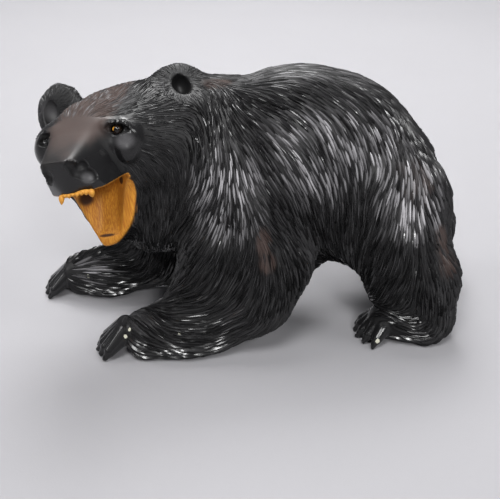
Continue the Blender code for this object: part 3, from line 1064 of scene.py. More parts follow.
def flow_guides():
    """All the guides as arrays: places, directions, pitches and lengths."""
    rows = []
    for s in (1, -1):
        for flow, shift in ((TRUNK_FLOW, 0.0), (HIND_FLOW, HIND_STRIDE), (FRONT_FLOW, -STRIDE)):
            offset = np.array([0.0, shift if s < 0 else 0.0, 0.0])
            for place, direction, stroke in flow:
                rows.append((mirrored(place, s) + offset, mirrored(direction, s), stroke))
        axes = head_axes()
        for place, direction, stroke in HEAD_FLOW:
            sides = np.array([1.0, s, 1.0])
            rows.append((np.array(HEAD_PLACE) + axes @ (place * sides), axes @ (direction * sides), stroke))
    places = np.array([row[0] for row in rows])
    directions = np.array([unit(row[1]) for row in rows])
    strokes = np.array([row[2] for row in rows])
    return places, directions, strokes


class Fur:
    """Reads the direction, pitch and length of the gouge cuts at any point of the carving."""
    def __init__(self):
        self.places, self.directions, self.strokes = flow_guides()

    def read(self, points, normals):
        gaps = np.sum((points[:, None, :] - self.places[None, :, :]) ** 2, axis=2)
        weights = 1.0 / (gaps + FLOW_REACH) ** 2
        weights /= weights.sum(axis=1)[:, None]
        direction = weights @ self.directions
        strokes = weights @ self.strokes
        local = to_head(points)
        for centre in EAR_CENTRES:
            away = local - np.array(centre)
            distance = np.linalg.norm(away, axis=1)
            near = 1.0 - ramp(distance, *EAR_FLOW)
            radial = away / np.maximum(distance, 1e-6)[:, None] @ head_axes().T
            direction = direction * (1.0 - near)[:, None] + radial * near[:, None]
            strokes = strokes * (1.0 - near)[:, None] + np.array(EAR_STROKE) * near[:, None]
        direction = direction - normals * np.sum(direction * normals, axis=1)[:, None]
        direction /= np.maximum(np.linalg.norm(direction, axis=1), 1e-6)[:, None]
        return direction, strokes[:, 0], strokes[:, 1]


class Surface:
    """The carved skin, for finding the nearest place on it."""
    def __init__(self, pieces):
        corners = []
        faces = []
        normals = []
        for piece in pieces:
            mesh = piece.data
            start = sum(len(row) for row in corners)
            corners.append(to_carving(vertex_points(mesh)))
            row = np.empty(len(mesh.vertices) * 3)
            mesh.vertex_normals.foreach_get("vector", row)
            normals.append(row.reshape(-1, 3))
            faces.extend([[start + i for i in face.vertices] for face in mesh.polygons])
        self.corners = np.vstack(corners)
        self.normals = np.vstack(normals)
        self.faces = faces
        self.tree = BVHTree.FromPolygons(self.corners.tolist(), faces)

    def nearest(self, points):
        """The nearest place on the skin for each point, and the skin's direction there."""
        found = np.empty_like(points)
        normals = np.empty_like(points)
        for i, point in enumerate(points):
            place, _, face, _ = self.tree.find_nearest(Vector(point))
            found[i] = place
            normals[i] = self.normals[self.faces[face]].mean(axis=0)
        normals /= np.linalg.norm(normals, axis=1)[:, None]
        return found, normals

    def scatter(self, count, chance):
        """Places spread evenly at random over the skin."""
        quads = np.array([face[:3] for face in self.faces])
        a, b, c = (self.corners[quads[:, i]] for i in range(3))
        areas = np.linalg.norm(np.cross(b - a, c - a), axis=1)
        picks = chance.choice(len(quads), count, p=areas / areas.sum())
        u, v = chance.random((2, count))
        flip = u + v > 1.0
        u[flip], v[flip] = 1.0 - u[flip], 1.0 - v[flip]
        places = a[picks] + (b - a)[picks] * u[:, None] + (c - a)[picks] * v[:, None]
        normals = self.normals[quads[picks]].mean(axis=1)
        return places, normals / np.linalg.norm(normals, axis=1)[:, None]


CELL = 16.0                            # strokes are looked up in cells of this size
SIDE_GAP = 0.74                        # least distance across a stroke, as a share of its pitch
END_GAP = 0.42                         # and along it, as a share of its length


def spread_out(places, directions, pitches, lengths):
    """Keeps the places that lie no nearer together than the gaps allow."""
    grid = {}
    kept = []
    keys = np.floor(places / CELL).astype(int)
    neighbours = [(i, j, k) for i in (-1, 0, 1) for j in (-1, 0, 1) for k in (-1, 0, 1)]
    for n in range(len(places)):
        x, y, z = keys[n]
        near = []
        for i, j, k in neighbours:
            near += grid.get((x + i, y + j, z + k), ())
        if near:
            gaps = places[near] - places[n]
            along = gaps @ directions[n]
            across = np.maximum(np.sum(gaps * gaps, axis=1) - along * along, 0.0)
            limit = across / (SIDE_GAP * pitches[n]) ** 2 + (along / (END_GAP * lengths[n])) ** 2
            if limit.min() < 1.0:
                continue
        grid.setdefault((x, y, z), []).append(n)
        kept.append(n)
    return np.array(kept)


# A land between two cuts, in stations from its root to its tip; its widths and heights there are
# shares of the stroke's half width and depth
STATIONS = 7
WIDTHS = np.array([0.0, 0.62, 0.92, 1.0, 0.86, 0.55, 0.0])
HEIGHTS = np.array([-0.25, 0.40, 0.75, 0.95, 1.05, 0.95, 0.1])
TOP_WIDTH = 0.24                       # a land's flat top as a share of its foot
FOOT_TONE = 0.1                        # how much of the crest's tone reaches its foot
SINK = 0.5                             # its foot lies this far under the skin


def leaf_template():
    """One gouge land: a closed leaf with a flat top, pointed at both ends; x along, y across, z up."""
    deselect_all()
    bpy.ops.mesh.primitive_cube_add(size=1.0, location=(0.5, 0.0, 0.5))
    bpy.ops.object.transform_apply(location=True, rotation=True, scale=True)
    leaf = bpy.context.object
    bpy.ops.object.mode_set(mode='EDIT')
    for i in range(1, STATIONS - 1):
        bpy.ops.mesh.select_all(action='SELECT')
        bpy.ops.mesh.bisect(plane_co=(i / (STATIONS - 1), 0, 0), plane_no=(1, 0, 0))
    shape = bmesh.from_edit_mesh(leaf.data)
    for end in (0.0, 1.0):
        bpy.ops.mesh.select_all(action='DESELECT')
        for corner in shape.verts:
            corner.select = abs(corner.co.x - end) < 0.01
        shape.select_flush_mode()
        bpy.ops.mesh.merge(type='CENTER')
        shape = bmesh.from_edit_mesh(leaf.data)
    bpy.ops.object.mode_set(mode='OBJECT')
    points = vertex_points(leaf.data)
    faces = [list(face.vertices) for face in leaf.data.polygons]
    bpy.data.objects.remove(leaf)
    station = np.rint(points[:, 0] * (STATIONS - 1)).astype(int)
    across = np.sign(np.round(points[:, 1], 3))
    top = points[:, 2] > 0.6            # the pointed ends lie at 0.5
    return station, across, top, faces


def trace(surface, fur, places, normals, lengths):
    """The centre line of each stroke over the skin, as stations from its root to its tip."""
    half = STATIONS // 2
    line = np.empty((STATIONS, len(places), 3))
    up = np.empty_like(line)
    line[half] = places
    up[half] = normals
    for way in (1, -1):
        spot, normal = places, normals
        for i in range(half):
            direction, _, _ = fur.read(spot, normal)
            spot, normal = surface.nearest(spot + direction * (way * lengths / (STATIONS - 1))[:, None])
            line[half + way * (i + 1)] = spot
            up[half + way * (i + 1)] = normal
    return line, up


def leaves(line, up, widths, depths, tilts, lifts):
    """All the strokes' corners, each copy of the leaf bent along its own line, and 1 on its crest."""
    station, across, top, faces = leaf_template()
    along = np.gradient(line, axis=0)
    along /= np.maximum(np.linalg.norm(along, axis=2), 1e-6)[:, :, None]
    side = np.cross(up, along)
    side /= np.maximum(np.linalg.norm(side, axis=2), 1e-6)[:, :, None]
    rise = np.linspace(0.0, 1.0, STATIONS) ** 2
    corners = []
    for k, v, on_top in zip(station, across, top):
        width = widths * WIDTHS[k] * (TOP_WIDTH if on_top else 1.0)
        if on_top:
            height = depths * HEIGHTS[k] * (1.0 + tilts * v) + lifts * rise[k]
        elif WIDTHS[k] == 0.0:
            height = depths * HEIGHTS[k] + lifts * rise[k]
        else:
            height = -SINK * np.ones(len(widths))
        corners.append(line[k] + side[k] * (v * width)[:, None] + up[k] * height[:, None])
    return np.stack(corners, axis=1), faces, np.where(top, 1.0, FOOT_TONE)


def mesh_of_copies(name, corners, faces):
    """One mesh from many copies of the same shape."""
    count, size, _ = corners.shape
    mesh = bpy.data.meshes.new(name)
    flat = [corner for face in faces for corner in face]
    sizes = [len(face) for face in faces]
    starts = np.concatenate([[0], np.cumsum(sizes)[:-1]])
    mesh.vertices.add(count * size)
    mesh.loops.add(count * len(flat))
    mesh.polygons.add(count * len(faces))
    mesh.vertices.foreach_set("co", to_frame(corners.reshape(-1, 3)).ravel())
    shifts = np.arange(count)[:, None]
    mesh.loops.foreach_set("vertex_index", (np.array(flat)[None, :] + shifts * size).ravel())
    mesh.polygons.foreach_set("loop_start", (starts[None, :] + shifts * len(flat)).ravel())
    mesh.update(calc_edges=True)
    mesh.validate()
    return mesh


# Materials

class Link:
    """A socket of a material that can stand in a sum."""
    def __init__(self, paint, socket):
        self.paint = paint
        self.socket = socket

    def math(self, operation, *values):
        return self.paint.node("ShaderNodeMath", {"operation": operation}, *values)

    def __add__(self, other):
        return self.math('ADD', self, other)

    def __sub__(self, other):
        return self.math('SUBTRACT', self, other)

    def __mul__(self, other):
        return self.math('MULTIPLY', self, other)

    def __rsub__(self, other):
        return self.math('SUBTRACT', other, self)

    __radd__ = __add__
    __rmul__ = __mul__


class Paint:
    """A material under construction, with its Principled shader."""
    def __init__(self, name):
        self.material = bpy.data.materials.new(name)
        self.material.use_nodes = True
        self.nodes = self.material.node_tree.nodes
        self.links = self.material.node_tree.links
        self.shader = self.nodes["Principled BSDF"]

    def set(self, socket, value):
        if isinstance(value, Link):
            self.links.new(value.socket, socket)
        elif value is not None:
            socket.default_value = value

    def node(self, kind, settings, *values, output=0):
        """A node: its settings come first, then its sockets in order or by name; None leaves one alone."""
        made = self.nodes.new(kind)
        for name, value in settings.items():
            if name == "stops":
                for place, colour in value:
                    stop = made.color_ramp.elements.new(place)
                    stop.color = colour
                made.color_ramp.elements.remove(made.color_ramp.elements[0])
                made.color_ramp.elements.remove(made.color_ramp.elements[-1])
            else:
                setattr(made, name, value)
        if values and isinstance(values[0], dict):
            for name, value in values[0].items():
                self.set(made.inputs[name], value)
        else:
            for i, value in enumerate(values):
                self.set(made.inputs[i], value)
        return Link(self, made.outputs[output])

    def shade(self, values):
        for name, value in values.items():
            self.set(self.shader.inputs[name], value)

    def place(self):
        return self.node("ShaderNodeTexCoord", {}, output="Object")

    def noise(self, scale, detail=3.0, rough=0.5, where=None):
        where = where or self.place()
        return self.node("ShaderNodeTexNoise", {}, {
            "Vector": where, "Scale": scale, "Detail": detail, "Roughness": rough}, output="Fac")

    def stretched(self, scale, turn=(0, 0, 0)):
        return self.node("ShaderNodeMapping", {"vector_type": 'TEXTURE'}, {
            "Vector": self.place(), "Scale": scale, "Rotation": turn})

    def step(self, value, low, high):
        """0 at low and 1 at high, whichever of them is the greater."""
        return self.node("ShaderNodeMapRange", {"interpolation_type": 'SMOOTHSTEP'}, {
            "Value": value, "From Min": low, "From Max": high})

    def attribute(self, name):
        return self.node("ShaderNodeAttribute", {"attribute_name": name}, output="Fac")

    def mix(self, factor, first, second):
        return self.node("ShaderNodeMix", {"data_type": 'RGBA'}, {0: factor, 6: first, 7: second}, output=2)

    def bump(self, height, strength, distance, normal=None):
        return self.node("ShaderNodeBump", {}, {
            "Height": height, "Strength": strength, "Distance": distance, "Normal": normal})


def stained_wood(colours):
    """Black stain under lacquer, worn to brown; painted highlights and sheen in grey and brown; orange wood
    in the mouth; pale chips and one painted highlight.
    """
    paint = Paint("stained_lacquered_wood")
    bare = paint.attribute("bare")
    worn = paint.attribute("worn")
    tone = paint.attribute("tone")
    dirt = paint.attribute("dirt")
    chip = paint.attribute("chip")
    deep = paint.attribute("deep")
    mottle = paint.noise(60.0, 4.0, 0.6)
    speckle = paint.noise(420.0, 3.0, 0.7)
    # brown where the stain is worn, and a faint brown painted sheen on the haunch
    rubbed_and_highlit = paint.step(worn + mottle * 0.7, 0.55, 1.2)
    # tone paints a few crests and smooth places pale grey as highlights and sheen; the bottoms of the cuts
    # stay black as painted shade
    black = paint.mix(tone, (*colours.stain, 1.0), (*colours.stain_light, 1.0))
    dark = paint.mix(rubbed_and_highlit, black, (*colours.worn, 1.0))
    # pale chips, and one painted highlight on the far front paw
    dark = paint.mix(paint.step(chip + speckle * 0.4, 0.7, 0.8), dark, (*colours.chip, 1.0))
    turn = Matrix(head_axes().tolist()).to_euler()
    grain_place = paint.stretched((0.006, 0.006, 0.10), turn)
    grain = paint.noise(6.0, 4.0, 0.6, grain_place)
    wood = paint.mix(paint.step(grain, 0.35, 0.68), (*colours.wood_dark, 1.0), (*colours.wood, 1.0))
    wood = paint.mix(tone * bare, wood, (*colours.tooth, 1.0))
    wood = paint.mix(paint.step(dirt + mottle * 0.3, 0.4, 1.0), wood, (*colours.dirt, 1.0))
    colour = paint.mix(bare, dark, wood)
    fine = paint.noise(900.0, 3.0, 0.6)
    streaks = paint.noise(1.0, 3.0, 0.6, paint.stretched((0.0012, 0.012, 0.0012)))
    height = fine * 0.35 + streaks * 0.65
    rough = 0.15 + mottle * 0.14 + worn * 0.36 + bare * 0.32 + deep * 0.30
    paint.shade({
        "Base Color": colour,
        "Roughness": rough,
        "Specular IOR Level": 0.32,
        "Coat Weight": 0.18 - worn * 0.14 - deep * 0.18 - bare * 0.18,
        "Coat Roughness": 0.10,
        "Normal": paint.bump(height, 0.35, 0.0003),
    })
    return paint.material


def wood_material(colours):
    """The one material that all the wood shares."""
    return bpy.data.materials.get("stained_lacquered_wood") or stained_wood(colours)


# The rings of an eye end at these cosines from the way it looks, soft between the two numbers
PUPIL_EDGE = (0.90, 0.87)
IRIS_EDGE = (0.76, 0.72)
GLOW_EDGE = (0.93, 0.97)               # the lit part of the iris, from the way it faces
PUPIL = (0.004, 0.003, 0.003, 1.0)
EYE_RIM = (0.006, 0.004, 0.003, 1.0)


def gaze(s):
    """Where an eye looks, in the head's axes."""
    return unit((0.93, 0.36 * s, 0.08))


def glow_side(s):
    """Which side of an eye's iris is lit, in the head's axes."""
    return unit((0.93, -0.12 * s, 0.30))


def amber_glass(name, s, colours):
    """A wide dark pupil in a dark ring that lights up amber towards the nose, under clear glass."""
    paint = Paint(name)
    centre = to_frame(eye_centre(s))

    def vector_math(operation, *values, output=0):
        return paint.node("ShaderNodeVectorMath", {"operation": operation}, *values, output=output)

    def facing(way):
        return vector_math('DOT_PRODUCT', direction, tuple(head_axes() @ way), output="Value")

    direction = vector_math('NORMALIZE', vector_math('SUBTRACT', paint.place(), tuple(centre)))
    straight = facing(gaze(s))
    glow = paint.step(facing(glow_side(s)), *GLOW_EDGE)
    iris = paint.mix(glow, (*colours.amber_dark, 1.0), (*colours.amber, 1.0))
    colour = paint.mix(paint.step(straight, *PUPIL_EDGE), PUPIL, iris)
    colour = paint.mix(paint.step(straight, *IRIS_EDGE), colour, EYE_RIM)
    paint.shade({
        "Base Color": colour,
        "Roughness": 0.06,
        "Specular IOR Level": 0.35,
        "Coat Weight": 0.2,
    })
    return paint.material


def cloth_floor(colours):
    """Pale cloth with a faint weave."""
    paint = Paint("pale_floor")
    cloud = paint.noise(3.0, 3.0, 0.5)
    weave = paint.noise(700.0, 2.0, 0.5)
    pale = paint.mix(cloud, (*[c * 0.94 for c in colours.floor], 1.0), (*colours.floor, 1.0))
    paint.shade({
        "Base Color": pale,
        "Roughness": 0.85 + weave * 0.05,
        "Normal": paint.bump(weave, 0.15, 0.0004),
    })
    return paint.material


# Properties

def colour_property(name, description, default):
    """A colour that can be changed in the sidebar."""
    return FloatVectorProperty(name=name, description=description, default=default, subtype='COLOR',
                               size=3, min=0.0, max=1.0)


class CarvingSizes(bpy.types.PropertyGroup):
    """Sizes of the meshes and of the gouge cuts"""
    head_grid: FloatProperty(name="Head grid", description="Spacing of the carved head's mesh",
                             default=0.00098, min=0.0005, unit='LENGTH')
    body_grid: FloatProperty(name="Body grid", description="Spacing of the carved body's mesh",
                             default=0.0016, min=0.001, unit='LENGTH')
    leg_grid: FloatProperty(name="Leg grid", description="Spacing of the carved legs' mesh",
                            default=0.00150, min=0.001, unit='LENGTH')
    groove_depth: FloatProperty(name="Groove depth",
                                description="Depth of the gouge cuts as a share of their pitch",
                                default=0.40, min=0.0, max=1.0, subtype='FACTOR')
    stroke_seed: IntProperty(name="Stroke seed", description="Draw of the strokes' places", default=11)


class CarvingColours(bpy.types.PropertyGroup):
    """Colours of the wood, the eyes and the floor"""
    stain: colour_property("Stain", "Black stain", (0.0048, 0.0047, 0.0050))
    # Pale grey of thin stain and of the painted highlights and sheen
    stain_light: colour_property("Light stain", "Stain where it is rubbed thin", (0.42, 0.41, 0.425))
    # Brown of worn stain, and of a faint painted sheen on the haunch
    worn: colour_property("Worn stain", "Brown where the stain is rubbed", (0.047, 0.032, 0.028))
    # Pale wood of chips, and of one painted highlight on the far front paw
    chip: colour_property("Chips", "Pale wood where an edge has broken off", (0.50, 0.49, 0.40))
    wood: colour_property("Bare wood", "Lacquered wood of the mouth", (0.575, 0.26, 0.027))
    wood_dark: colour_property("Wood grain", "Darker grain of the mouth", (0.38, 0.13, 0.010))
    tooth: colour_property("Tooth", "Pale wood of the teeth", (0.62, 0.33, 0.065))
    # Darker brown laid over parts of the mouth
    dirt: colour_property("Dirt", "Stain that has run into the mouth", (0.05, 0.017, 0.005))
    amber: colour_property("Amber", "Lit part of the iris", (0.60, 0.28, 0.03))
    amber_dark: colour_property("Dark amber", "Iris in shade", (0.012, 0.006, 0.003))
    floor: colour_property("Floor", "Pale cloth under the bear", (0.288, 0.284, 0.297))


# Operators

def carve_part(scene, name, grid, *cuts):
    """Carves one part of the skin, stains it and sets it on the body."""
    made = carve(name, grid / MM, *cuts)
    paint_skin(made, scene.carving_colours)
    finish_piece(made, "stained_wood", "bear")


class CARVING_OT_head(bpy.types.Operator):
    """Carve the head: skull, brow, lids, muzzle, nostrils, ears and open mouth"""
    bl_idname = "carving.head"
    bl_label = "Carve Head"

    def execute(self, context):
        carve_part(context.scene, "head", context.scene.carving_sizes.head_grid, NECK, CHEST)
        return {'FINISHED'}


class CARVING_OT_body(bpy.types.Operator):
    """Carve the body above the legs"""
    bl_idname = "carving.body"
    bl_label = "Carve Body"

    def execute(self, context):
        carve_part(context.scene, "body", context.scene.carving_sizes.body_grid, behind(NECK), CHEST)
        return {'FINISHED'}


class CARVING_OT_legs(bpy.types.Operator):
    """Carve the legs and paws"""
    bl_idname = "carving.legs"
    bl_label = "Carve Legs"

    def execute(self, context):
        carve_part(context.scene, "legs", context.scene.carving_sizes.leg_grid, behind(CHEST))
        return {'FINISHED'}


# Where the ends of the cuts stand off the wood in tufts: place, radii, lift in millimetres
TUFTS = [
    ((78, 36, 84), (22, 16, 34), 2.2),
    ((55, 44, 70), (26, 14, 30), 2.0),
    ((57, 97, 66), (24, 14, 26), 1.8),
    ((74, 108, 46), (20, 12, 24), 1.6),
    ((72, 172, 76), (26, 18, 46), 2.0),
    ((-74, 200, 76), (26, 18, 46), 2.0),
    ((-57, 20, 84), (26, 18, 34), 2.0),
]


# The pieces of the coat, and where the shoulders' piece ends and the haunches' begins
FUR_PIECES = ("fur_head", "fur_shoulders", "fur_flanks", "fur_haunches")
SHOULDERS_END = 20.0
HAUNCHES_BEGIN = 95.0


def fur_zone(points):
    """Which of the coat's pieces each point belongs to, as its place in their row."""
    place, normal = NECK
    front = (points - np.array(place)) @ unit(normal) < 0.0
    zone = np.where(points[:, 1] < SHOULDERS_END, 1, 2)
    zone = np.where(points[:, 1] > HAUNCHES_BEGIN, 3, zone)
    return np.where(front & (points[:, 2] > CHEST[0][2]), 0, zone)


# Where strokes are laid
TRIES = 110000                         # places that are tried
FUR_EDGE = 0.6                         # no stroke begins where the wood is smoother than this
END_EDGE = 0.95                        # none reaches where it is smoother than this
LAND_EDGE = 30.0                       # edges of a land sharper than this stay sharp, in degrees

# How strokes vary: the least and the most of what is drawn for each
LENGTHS = (0.75, 1.2)                  # as shares of the length that the guides give
HALF_WIDTHS = (0.50, 0.66)             # as shares of the pitch
DEPTHS = (0.65, 1.3)                   # as shares of the grooves' depth
TILTS = (-0.6, 0.6)                    # how much higher one side is than the other
LIFTS = (0.0, 0.3)                     # how far the tip stands off, as a share of the pitch
TONES = (0.0, 0.04)                    # how grey the black of a crest is
BROWN_SHARES = (0.3, 1.5)                      # how readily a stroke shows brown
HIGHLIGHT_POWER = 2.2                        # few of the crests in a highlight place are painted pale grey

# How strokes change on smoother and on calmer, finely carved wood
SHORTER = 0.5
SHALLOWER = 0.6
CALM_DEPTH = 0.45
CALM_DULL = 0.65
MATT_DULL = 0.6
FOOT_DULL = 0.5                        # lacquer gathers on the crests and not at their feet


class CARVING_OT_fur(bpy.types.Operator):
    """Gouge the fur: rows of leaf-shaped lands over the head, body and legs"""
    bl_idname = "carving.fur"
    bl_label = "Gouge Fur"

    def execute(self, context):
        sizes = context.scene.carving_sizes
        surface = Surface([bpy.data.objects[name] for name in ("head", "body", "legs")])
        fur = Fur()
        chance = np.random.default_rng(sizes.stroke_seed)
        places, normals = surface.scatter(TRIES, chance)
        smooth = smooth_wood(places)
        furry = smooth < FUR_EDGE
        places, normals, smooth = places[furry], normals[furry], smooth[furry]
        directions, pitches, lengths = fur.read(places, normals)
        kept = spread_out(places, directions, pitches, lengths)
        places, normals, smooth = places[kept], normals[kept], smooth[kept]
        pitches, lengths = pitches[kept], lengths[kept]
        count = len(kept)
        lengths = lengths * chance.uniform(*LENGTHS, count) * (1.0 - SHORTER * smooth)
        line, up = trace(surface, fur, places, normals, lengths)
        widths = pitches * chance.uniform(*HALF_WIDTHS, count)
        depths = pitches * sizes.groove_depth * chance.uniform(*DEPTHS, count)
        depths = depths * (1.0 - SHALLOWER * smooth)
        tilts = chance.uniform(*TILTS, count)
        calm = fine_carving(places)
        depths *= 1.0 - CALM_DEPTH * calm
        lifts = pitches * chance.uniform(*LIFTS, count) * (1.0 - calm) + patches(places, TUFTS)
        corners, faces, crest = leaves(line, up, widths, depths, tilts, lifts)
        # Painted highlights: a few crests in the highlight places are painted pale grey; over the crown the
        # stain is also thinner
        rubbed_and_highlit = np.maximum(patches(places, HIGHLIGHT_PLACES), patches(to_head(places), THIN_STAIN_AND_HIGHLIGHT_HEAD))
        tones = chance.uniform(*TONES, count) + rubbed_and_highlit * chance.random(count) ** HIGHLIGHT_POWER
        brown_share = chance.uniform(*BROWN_SHARES, count)
        ends_smooth = smooth_wood(line.reshape(-1, 3)).reshape(STATIONS, -1).max(axis=0)
        good = ends_smooth < END_EDGE
        corners, tones, brown_share, places = corners[good], tones[good], brown_share[good], places[good]
        matt = np.maximum(patches(places, MATT_PLACES), patches(to_head(places), MATT_HEAD))
        dull = CALM_DULL * calm[good] + MATT_DULL * matt
        zones = fur_zone(places)
        for zone, name in enumerate(FUR_PIECES):
            mine = zones == zone
            mesh = mesh_of_copies(name, corners[mine], faces)
            made = bpy.data.objects.new(name, mesh)
            context.scene.collection.objects.link(made)
            choose(made)
            bpy.ops.object.shade_smooth_by_angle(angle=math.radians(LAND_EDGE))
            attributes(mesh, np.outer(tones[mine], crest).ravel(), np.repeat(brown_share[mine], len(crest)))
            attribute(mesh, "deep", (dull[mine][:, None] + FOOT_DULL * (1.0 - crest)).ravel())
            mesh.materials.append(wood_material(context.scene.carving_colours))
            finish_piece(made, "stained_wood")
        return {'FINISHED'}


# Upper teeth in the head's axes: root, tip, thickness of the canines; lengths of the small ones
CANINES = [
    ((63.5, 16.3, -31.5), (61.5, 15.8, -38.4), 2.9),
    ((68.5, -6.0, -32.0), (69.8, -7.0, -39.6), 2.5),
]
SMALL_TEETH = [2.4, 1.7, 2.1, 1.5, 2.3, 1.6]
SMALL_THICKNESS = 2.35
SMALL_LEAN = 0.3                       # a tooth's tip leans forward, and every second one sideways
SMALL_REACH = 1.5                      # a small tooth is this much longer than its length says
ROW_BOW = 2.5                          # the row stands this far before the line between the canines
GUM_DROP = 1.0                         # the gum's ends lie this far under the canines' roots
GUM_OVERLAP = 0.15                     # its halves run on past its middle by this share
GUM_THICKNESS = 2.0
TOOTH_TAPER = 0.55                     # how much narrower a tooth is at its tip
TOOTH_TONE = 0.30                      # how far its wood is bleached


def small_teeth():
    """Root, tip and thickness of each small tooth in the row between the canines."""
    near, far = (np.array(canine[0]) for canine in CANINES)
    for i, length in enumerate(SMALL_TEETH):
        t = (i + 1.0) / (len(SMALL_TEETH) + 1.0)
        root = near + (far - near) * t + np.array([ROW_BOW * math.sin(math.pi * t), 0.0, 0.0])
        fall = np.array([SMALL_LEAN, SMALL_LEAN * (i % 2), -SMALL_REACH - length])
        yield root, root + fall, SMALL_THICKNESS


def gum():
    """The strip that the small teeth stand on, as two spindles that meet in its middle."""
    near, far = (np.array(canine[0]) + np.array([0.0, 0.0, -GUM_DROP]) for canine in CANINES)
    middle = (near + far) / 2.0 + np.array([ROW_BOW, 0.0, 0.0])
    for end in (near, far):
        yield end, middle + (middle - end) * GUM_OVERLAP, GUM_THICKNESS


class CARVING_OT_teeth(bpy.types.Operator):
    """Cut the upper teeth: two canines and the small teeth between them"""
    bl_idname = "carving.teeth"
    bl_label = "Cut Teeth"

    def execute(self, context):
        axes = Matrix(head_axes().tolist())
        made = []
        for root, tip, thick in [*CANINES, *small_teeth(), *gum()]:
            root, tip = np.array(root, float), np.array(tip, float)
            middle = Vector(to_frame(np.array(HEAD_PLACE) + head_axes() @ ((root + tip) / 2.0)))
            along = axes @ Vector(tip - root)
            bpy.ops.mesh.primitive_uv_sphere_add(segments=14, ring_count=10, radius=0.5, location=middle)
            tooth = context.object
            for corner in tooth.data.vertices:
                taper = 1.0 - TOOTH_TAPER * (corner.co.z + 0.5) ** 2
                corner.co.x *= taper
                corner.co.y *= taper
            tooth.scale = (2.0 * thick * MM, 2.0 * thick * MM, along.length * MM)
            tooth.rotation_euler = along.to_track_quat('Z', 'Y').to_euler()
            made.append(tooth)
        deselect_all()
        for tooth in made:
            tooth.select_set(True)
        context.view_layer.objects.active = made[0]
        bpy.ops.object.join()
        bpy.ops.object.transform_apply(location=True, rotation=True, scale=True)
        bpy.ops.object.shade_smooth()
        teeth = context.object
        teeth.name = "teeth"
        teeth.data.name = "teeth"
        for name in ("bare", "tone", "worn", "dirt", "chip", "deep"):
            value = {"bare": 1.0, "tone": TOOTH_TONE}.get(name, 0.0)
            attribute(teeth.data, name, np.full(len(teeth.data.vertices), value))
        teeth.data.materials.append(wood_material(context.scene.carving_colours))
        finish_piece(teeth, "stained_wood")
        return {'FINISHED'}


BULGE = 0.05                           # the glass stands out over the iris by this share of its radius
BULGE_EDGE = 0.75                      # the bulge begins at this cosine from the way the eye looks


class CARVING_OT_eyes(bpy.types.Operator):
    """Set the glass eyes, with a clear bulge over the iris"""
    bl_idname = "carving.eyes"
    bl_label = "Set Eyes"

    def execute(self, context):
        for side, s in (("left", 1), ("right", -1)):
            centre = Vector(to_frame(eye_centre(s)))
            ahead = Vector(head_axes() @ gaze(s))
            deselect_all()
            bpy.ops.mesh.primitive_uv_sphere_add(segments=40, ring_count=24, radius=EYE_RADIUS * MM,
                                                 location=centre)
            eye = context.object
            eye.name = "glass_eye_" + side
            eye.data.name = eye.name
            for corner in eye.data.vertices:
                facing = corner.co.normalized().dot(ahead)
                corner.co *= 1.0 + BULGE * max(0.0, (facing - BULGE_EDGE) / (1.0 - BULGE_EDGE))
            bpy.ops.object.transform_apply(location=True, rotation=True, scale=True)
            bpy.ops.object.shade_smooth()
            eye.data.materials.append(amber_glass(eye.name, s, context.scene.carving_colours))
            finish_piece(eye, "eye_glass", "eye_" + side)
        return {'FINISHED'}


# The stage, in metres and degrees; azimuth 0 is in front of the bear, and 90 at its left
CAMERA_AZIMUTH = 83.0
CAMERA_HEIGHT = 26.0                   # above the horizon
CAMERA_DISTANCE = 0.8
CAMERA_TARGET = (54.0, 0.0, 90.0)      # in the carving, in millimetres
VIEW_WIDTH = 0.42                      # across the view at the target
SENSOR_WIDTH = 36.0                    # in millimetres
NEAREST = 0.01                         # the camera shows nothing nearer than this
FLOOR_SIZE = 8.0
SKY = (0.80, 0.80, 0.85, 1.0)
SKY_STRENGTH = 0.20

# Lights: name, azimuth, height, distance, size, power, and how far past the bear it is aimed
LIGHTS = [
    ("key", 68.0, 58.0, 6.0, 2.2, 270.0, 0.0),
    ("side", 98.0, 33.0, 6.0, 0.9, 175.0, 0.0),
    ("right", 150.0, 36.0, 6.0, 1.6, 100.0, 0.0),
    ("left", 25.0, 30.0, 6.0, 1.6, 12.0, 0.0),
    ("front", 345.0, 38.0, 6.0, 2.2, 95.0, 0.0),
    ("top", 263.0, 74.0, 1.8, 0.9, 17.0, 0.0),
    ("back", 265.0, 52.0, 2.1, 0.9, 40.0, 1.29),
]


def toward(azimuth, height):
    """The direction from the bear towards a light or the camera."""
    a, e = math.radians(azimuth), math.radians(height)
    return Vector((math.sin(a) * math.cos(e), -math.cos(a) * math.cos(e), math.sin(e)))


def aim(made, place, target):
    """Sets a light or a camera in its place and turns it to the target."""
    made.location = place
    made.rotation_euler = (Vector(target) - Vector(place)).to_track_quat('-Z', 'Y').to_euler()


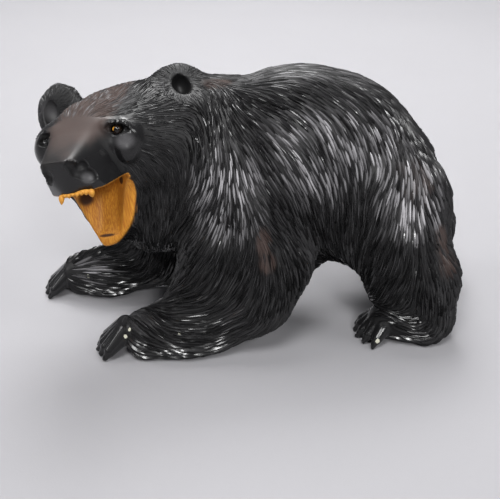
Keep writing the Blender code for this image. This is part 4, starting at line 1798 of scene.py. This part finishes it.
class CARVING_OT_stage(bpy.types.Operator):
    """Lay the floor, hang the lights and place the camera"""
    bl_idname = "carving.stage"
    bl_label = "Set Stage"

    def execute(self, context):
        scene = context.scene
        deselect_all()
        bpy.ops.mesh.primitive_plane_add(size=FLOOR_SIZE, location=(0.0, 0.0, 0.0))
        floor = context.object
        floor.name = "floor"
        floor.data.materials.append(cloth_floor(scene.carving_colours))
        floor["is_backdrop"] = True
        target = Vector(to_frame(np.array(CAMERA_TARGET)))
        for name, azimuth, height, away, size, power, past in LIGHTS:
            light = bpy.data.lights.new(name, 'AREA')
            light.size = size
            light.energy = power
            holder = bpy.data.objects.new(name, light)
            scene.collection.objects.link(holder)
            aim(holder, target + toward(azimuth, height) * away, target - toward(CAMERA_AZIMUTH, 0.0) * past)
        world = bpy.data.worlds.new("studio")
        world.use_nodes = True
        sky = world.node_tree.nodes["Background"]
        sky.inputs["Color"].default_value = SKY
        sky.inputs["Strength"].default_value = SKY_STRENGTH
        scene.world = world
        camera = bpy.data.cameras.new("camera")
        camera.sensor_width = SENSOR_WIDTH
        camera.lens = camera.sensor_width / VIEW_WIDTH * CAMERA_DISTANCE
        camera.clip_start = NEAREST
        holder = bpy.data.objects.new("camera", camera)
        scene.collection.objects.link(holder)
        aim(holder, target + toward(CAMERA_AZIMUTH, CAMERA_HEIGHT) * CAMERA_DISTANCE, target)
        scene.camera = holder
        scene.view_settings.view_transform = 'Standard'
        return {'FINISHED'}


class CARVING_PT_panel(bpy.types.Panel):
    """The steps of the carving, in order"""
    bl_idname = "CARVING_PT_panel"
    bl_label = "Carved Bear"
    bl_space_type = 'VIEW_3D'
    bl_region_type = 'UI'
    bl_category = "Carving"

    def draw(self, context):
        for step in STEPS:
            self.layout.operator(step.bl_idname)
        for group in (context.scene.carving_sizes, context.scene.carving_colours):
            for name in group.__annotations__:
                self.layout.prop(group, name)


STEPS = (CARVING_OT_head, CARVING_OT_body, CARVING_OT_legs, CARVING_OT_fur, CARVING_OT_teeth,
         CARVING_OT_eyes, CARVING_OT_stage)
CLASSES = (CarvingSizes, CarvingColours, *STEPS, CARVING_PT_panel)


def register():
    for made in CLASSES:
        bpy.utils.register_class(made)
    bpy.types.Scene.carving_sizes = PointerProperty(type=CarvingSizes)
    bpy.types.Scene.carving_colours = PointerProperty(type=CarvingColours)


def unregister():
    del bpy.types.Scene.carving_colours
    del bpy.types.Scene.carving_sizes
    for made in reversed(CLASSES):
        bpy.utils.unregister_class(made)


def main():
    register()
    bpy.ops.carving.head()
    bpy.ops.carving.body()
    bpy.ops.carving.legs()
    bpy.ops.carving.fur()
    bpy.ops.carving.teeth()
    bpy.ops.carving.eyes()
    bpy.ops.carving.stage()
    boxes = {"cad": CAD_BOX, "visual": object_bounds()}
    {name: [list(corner) for corner in box] for name, box in boxes.items()}


if __name__ == "__main__":
    main()
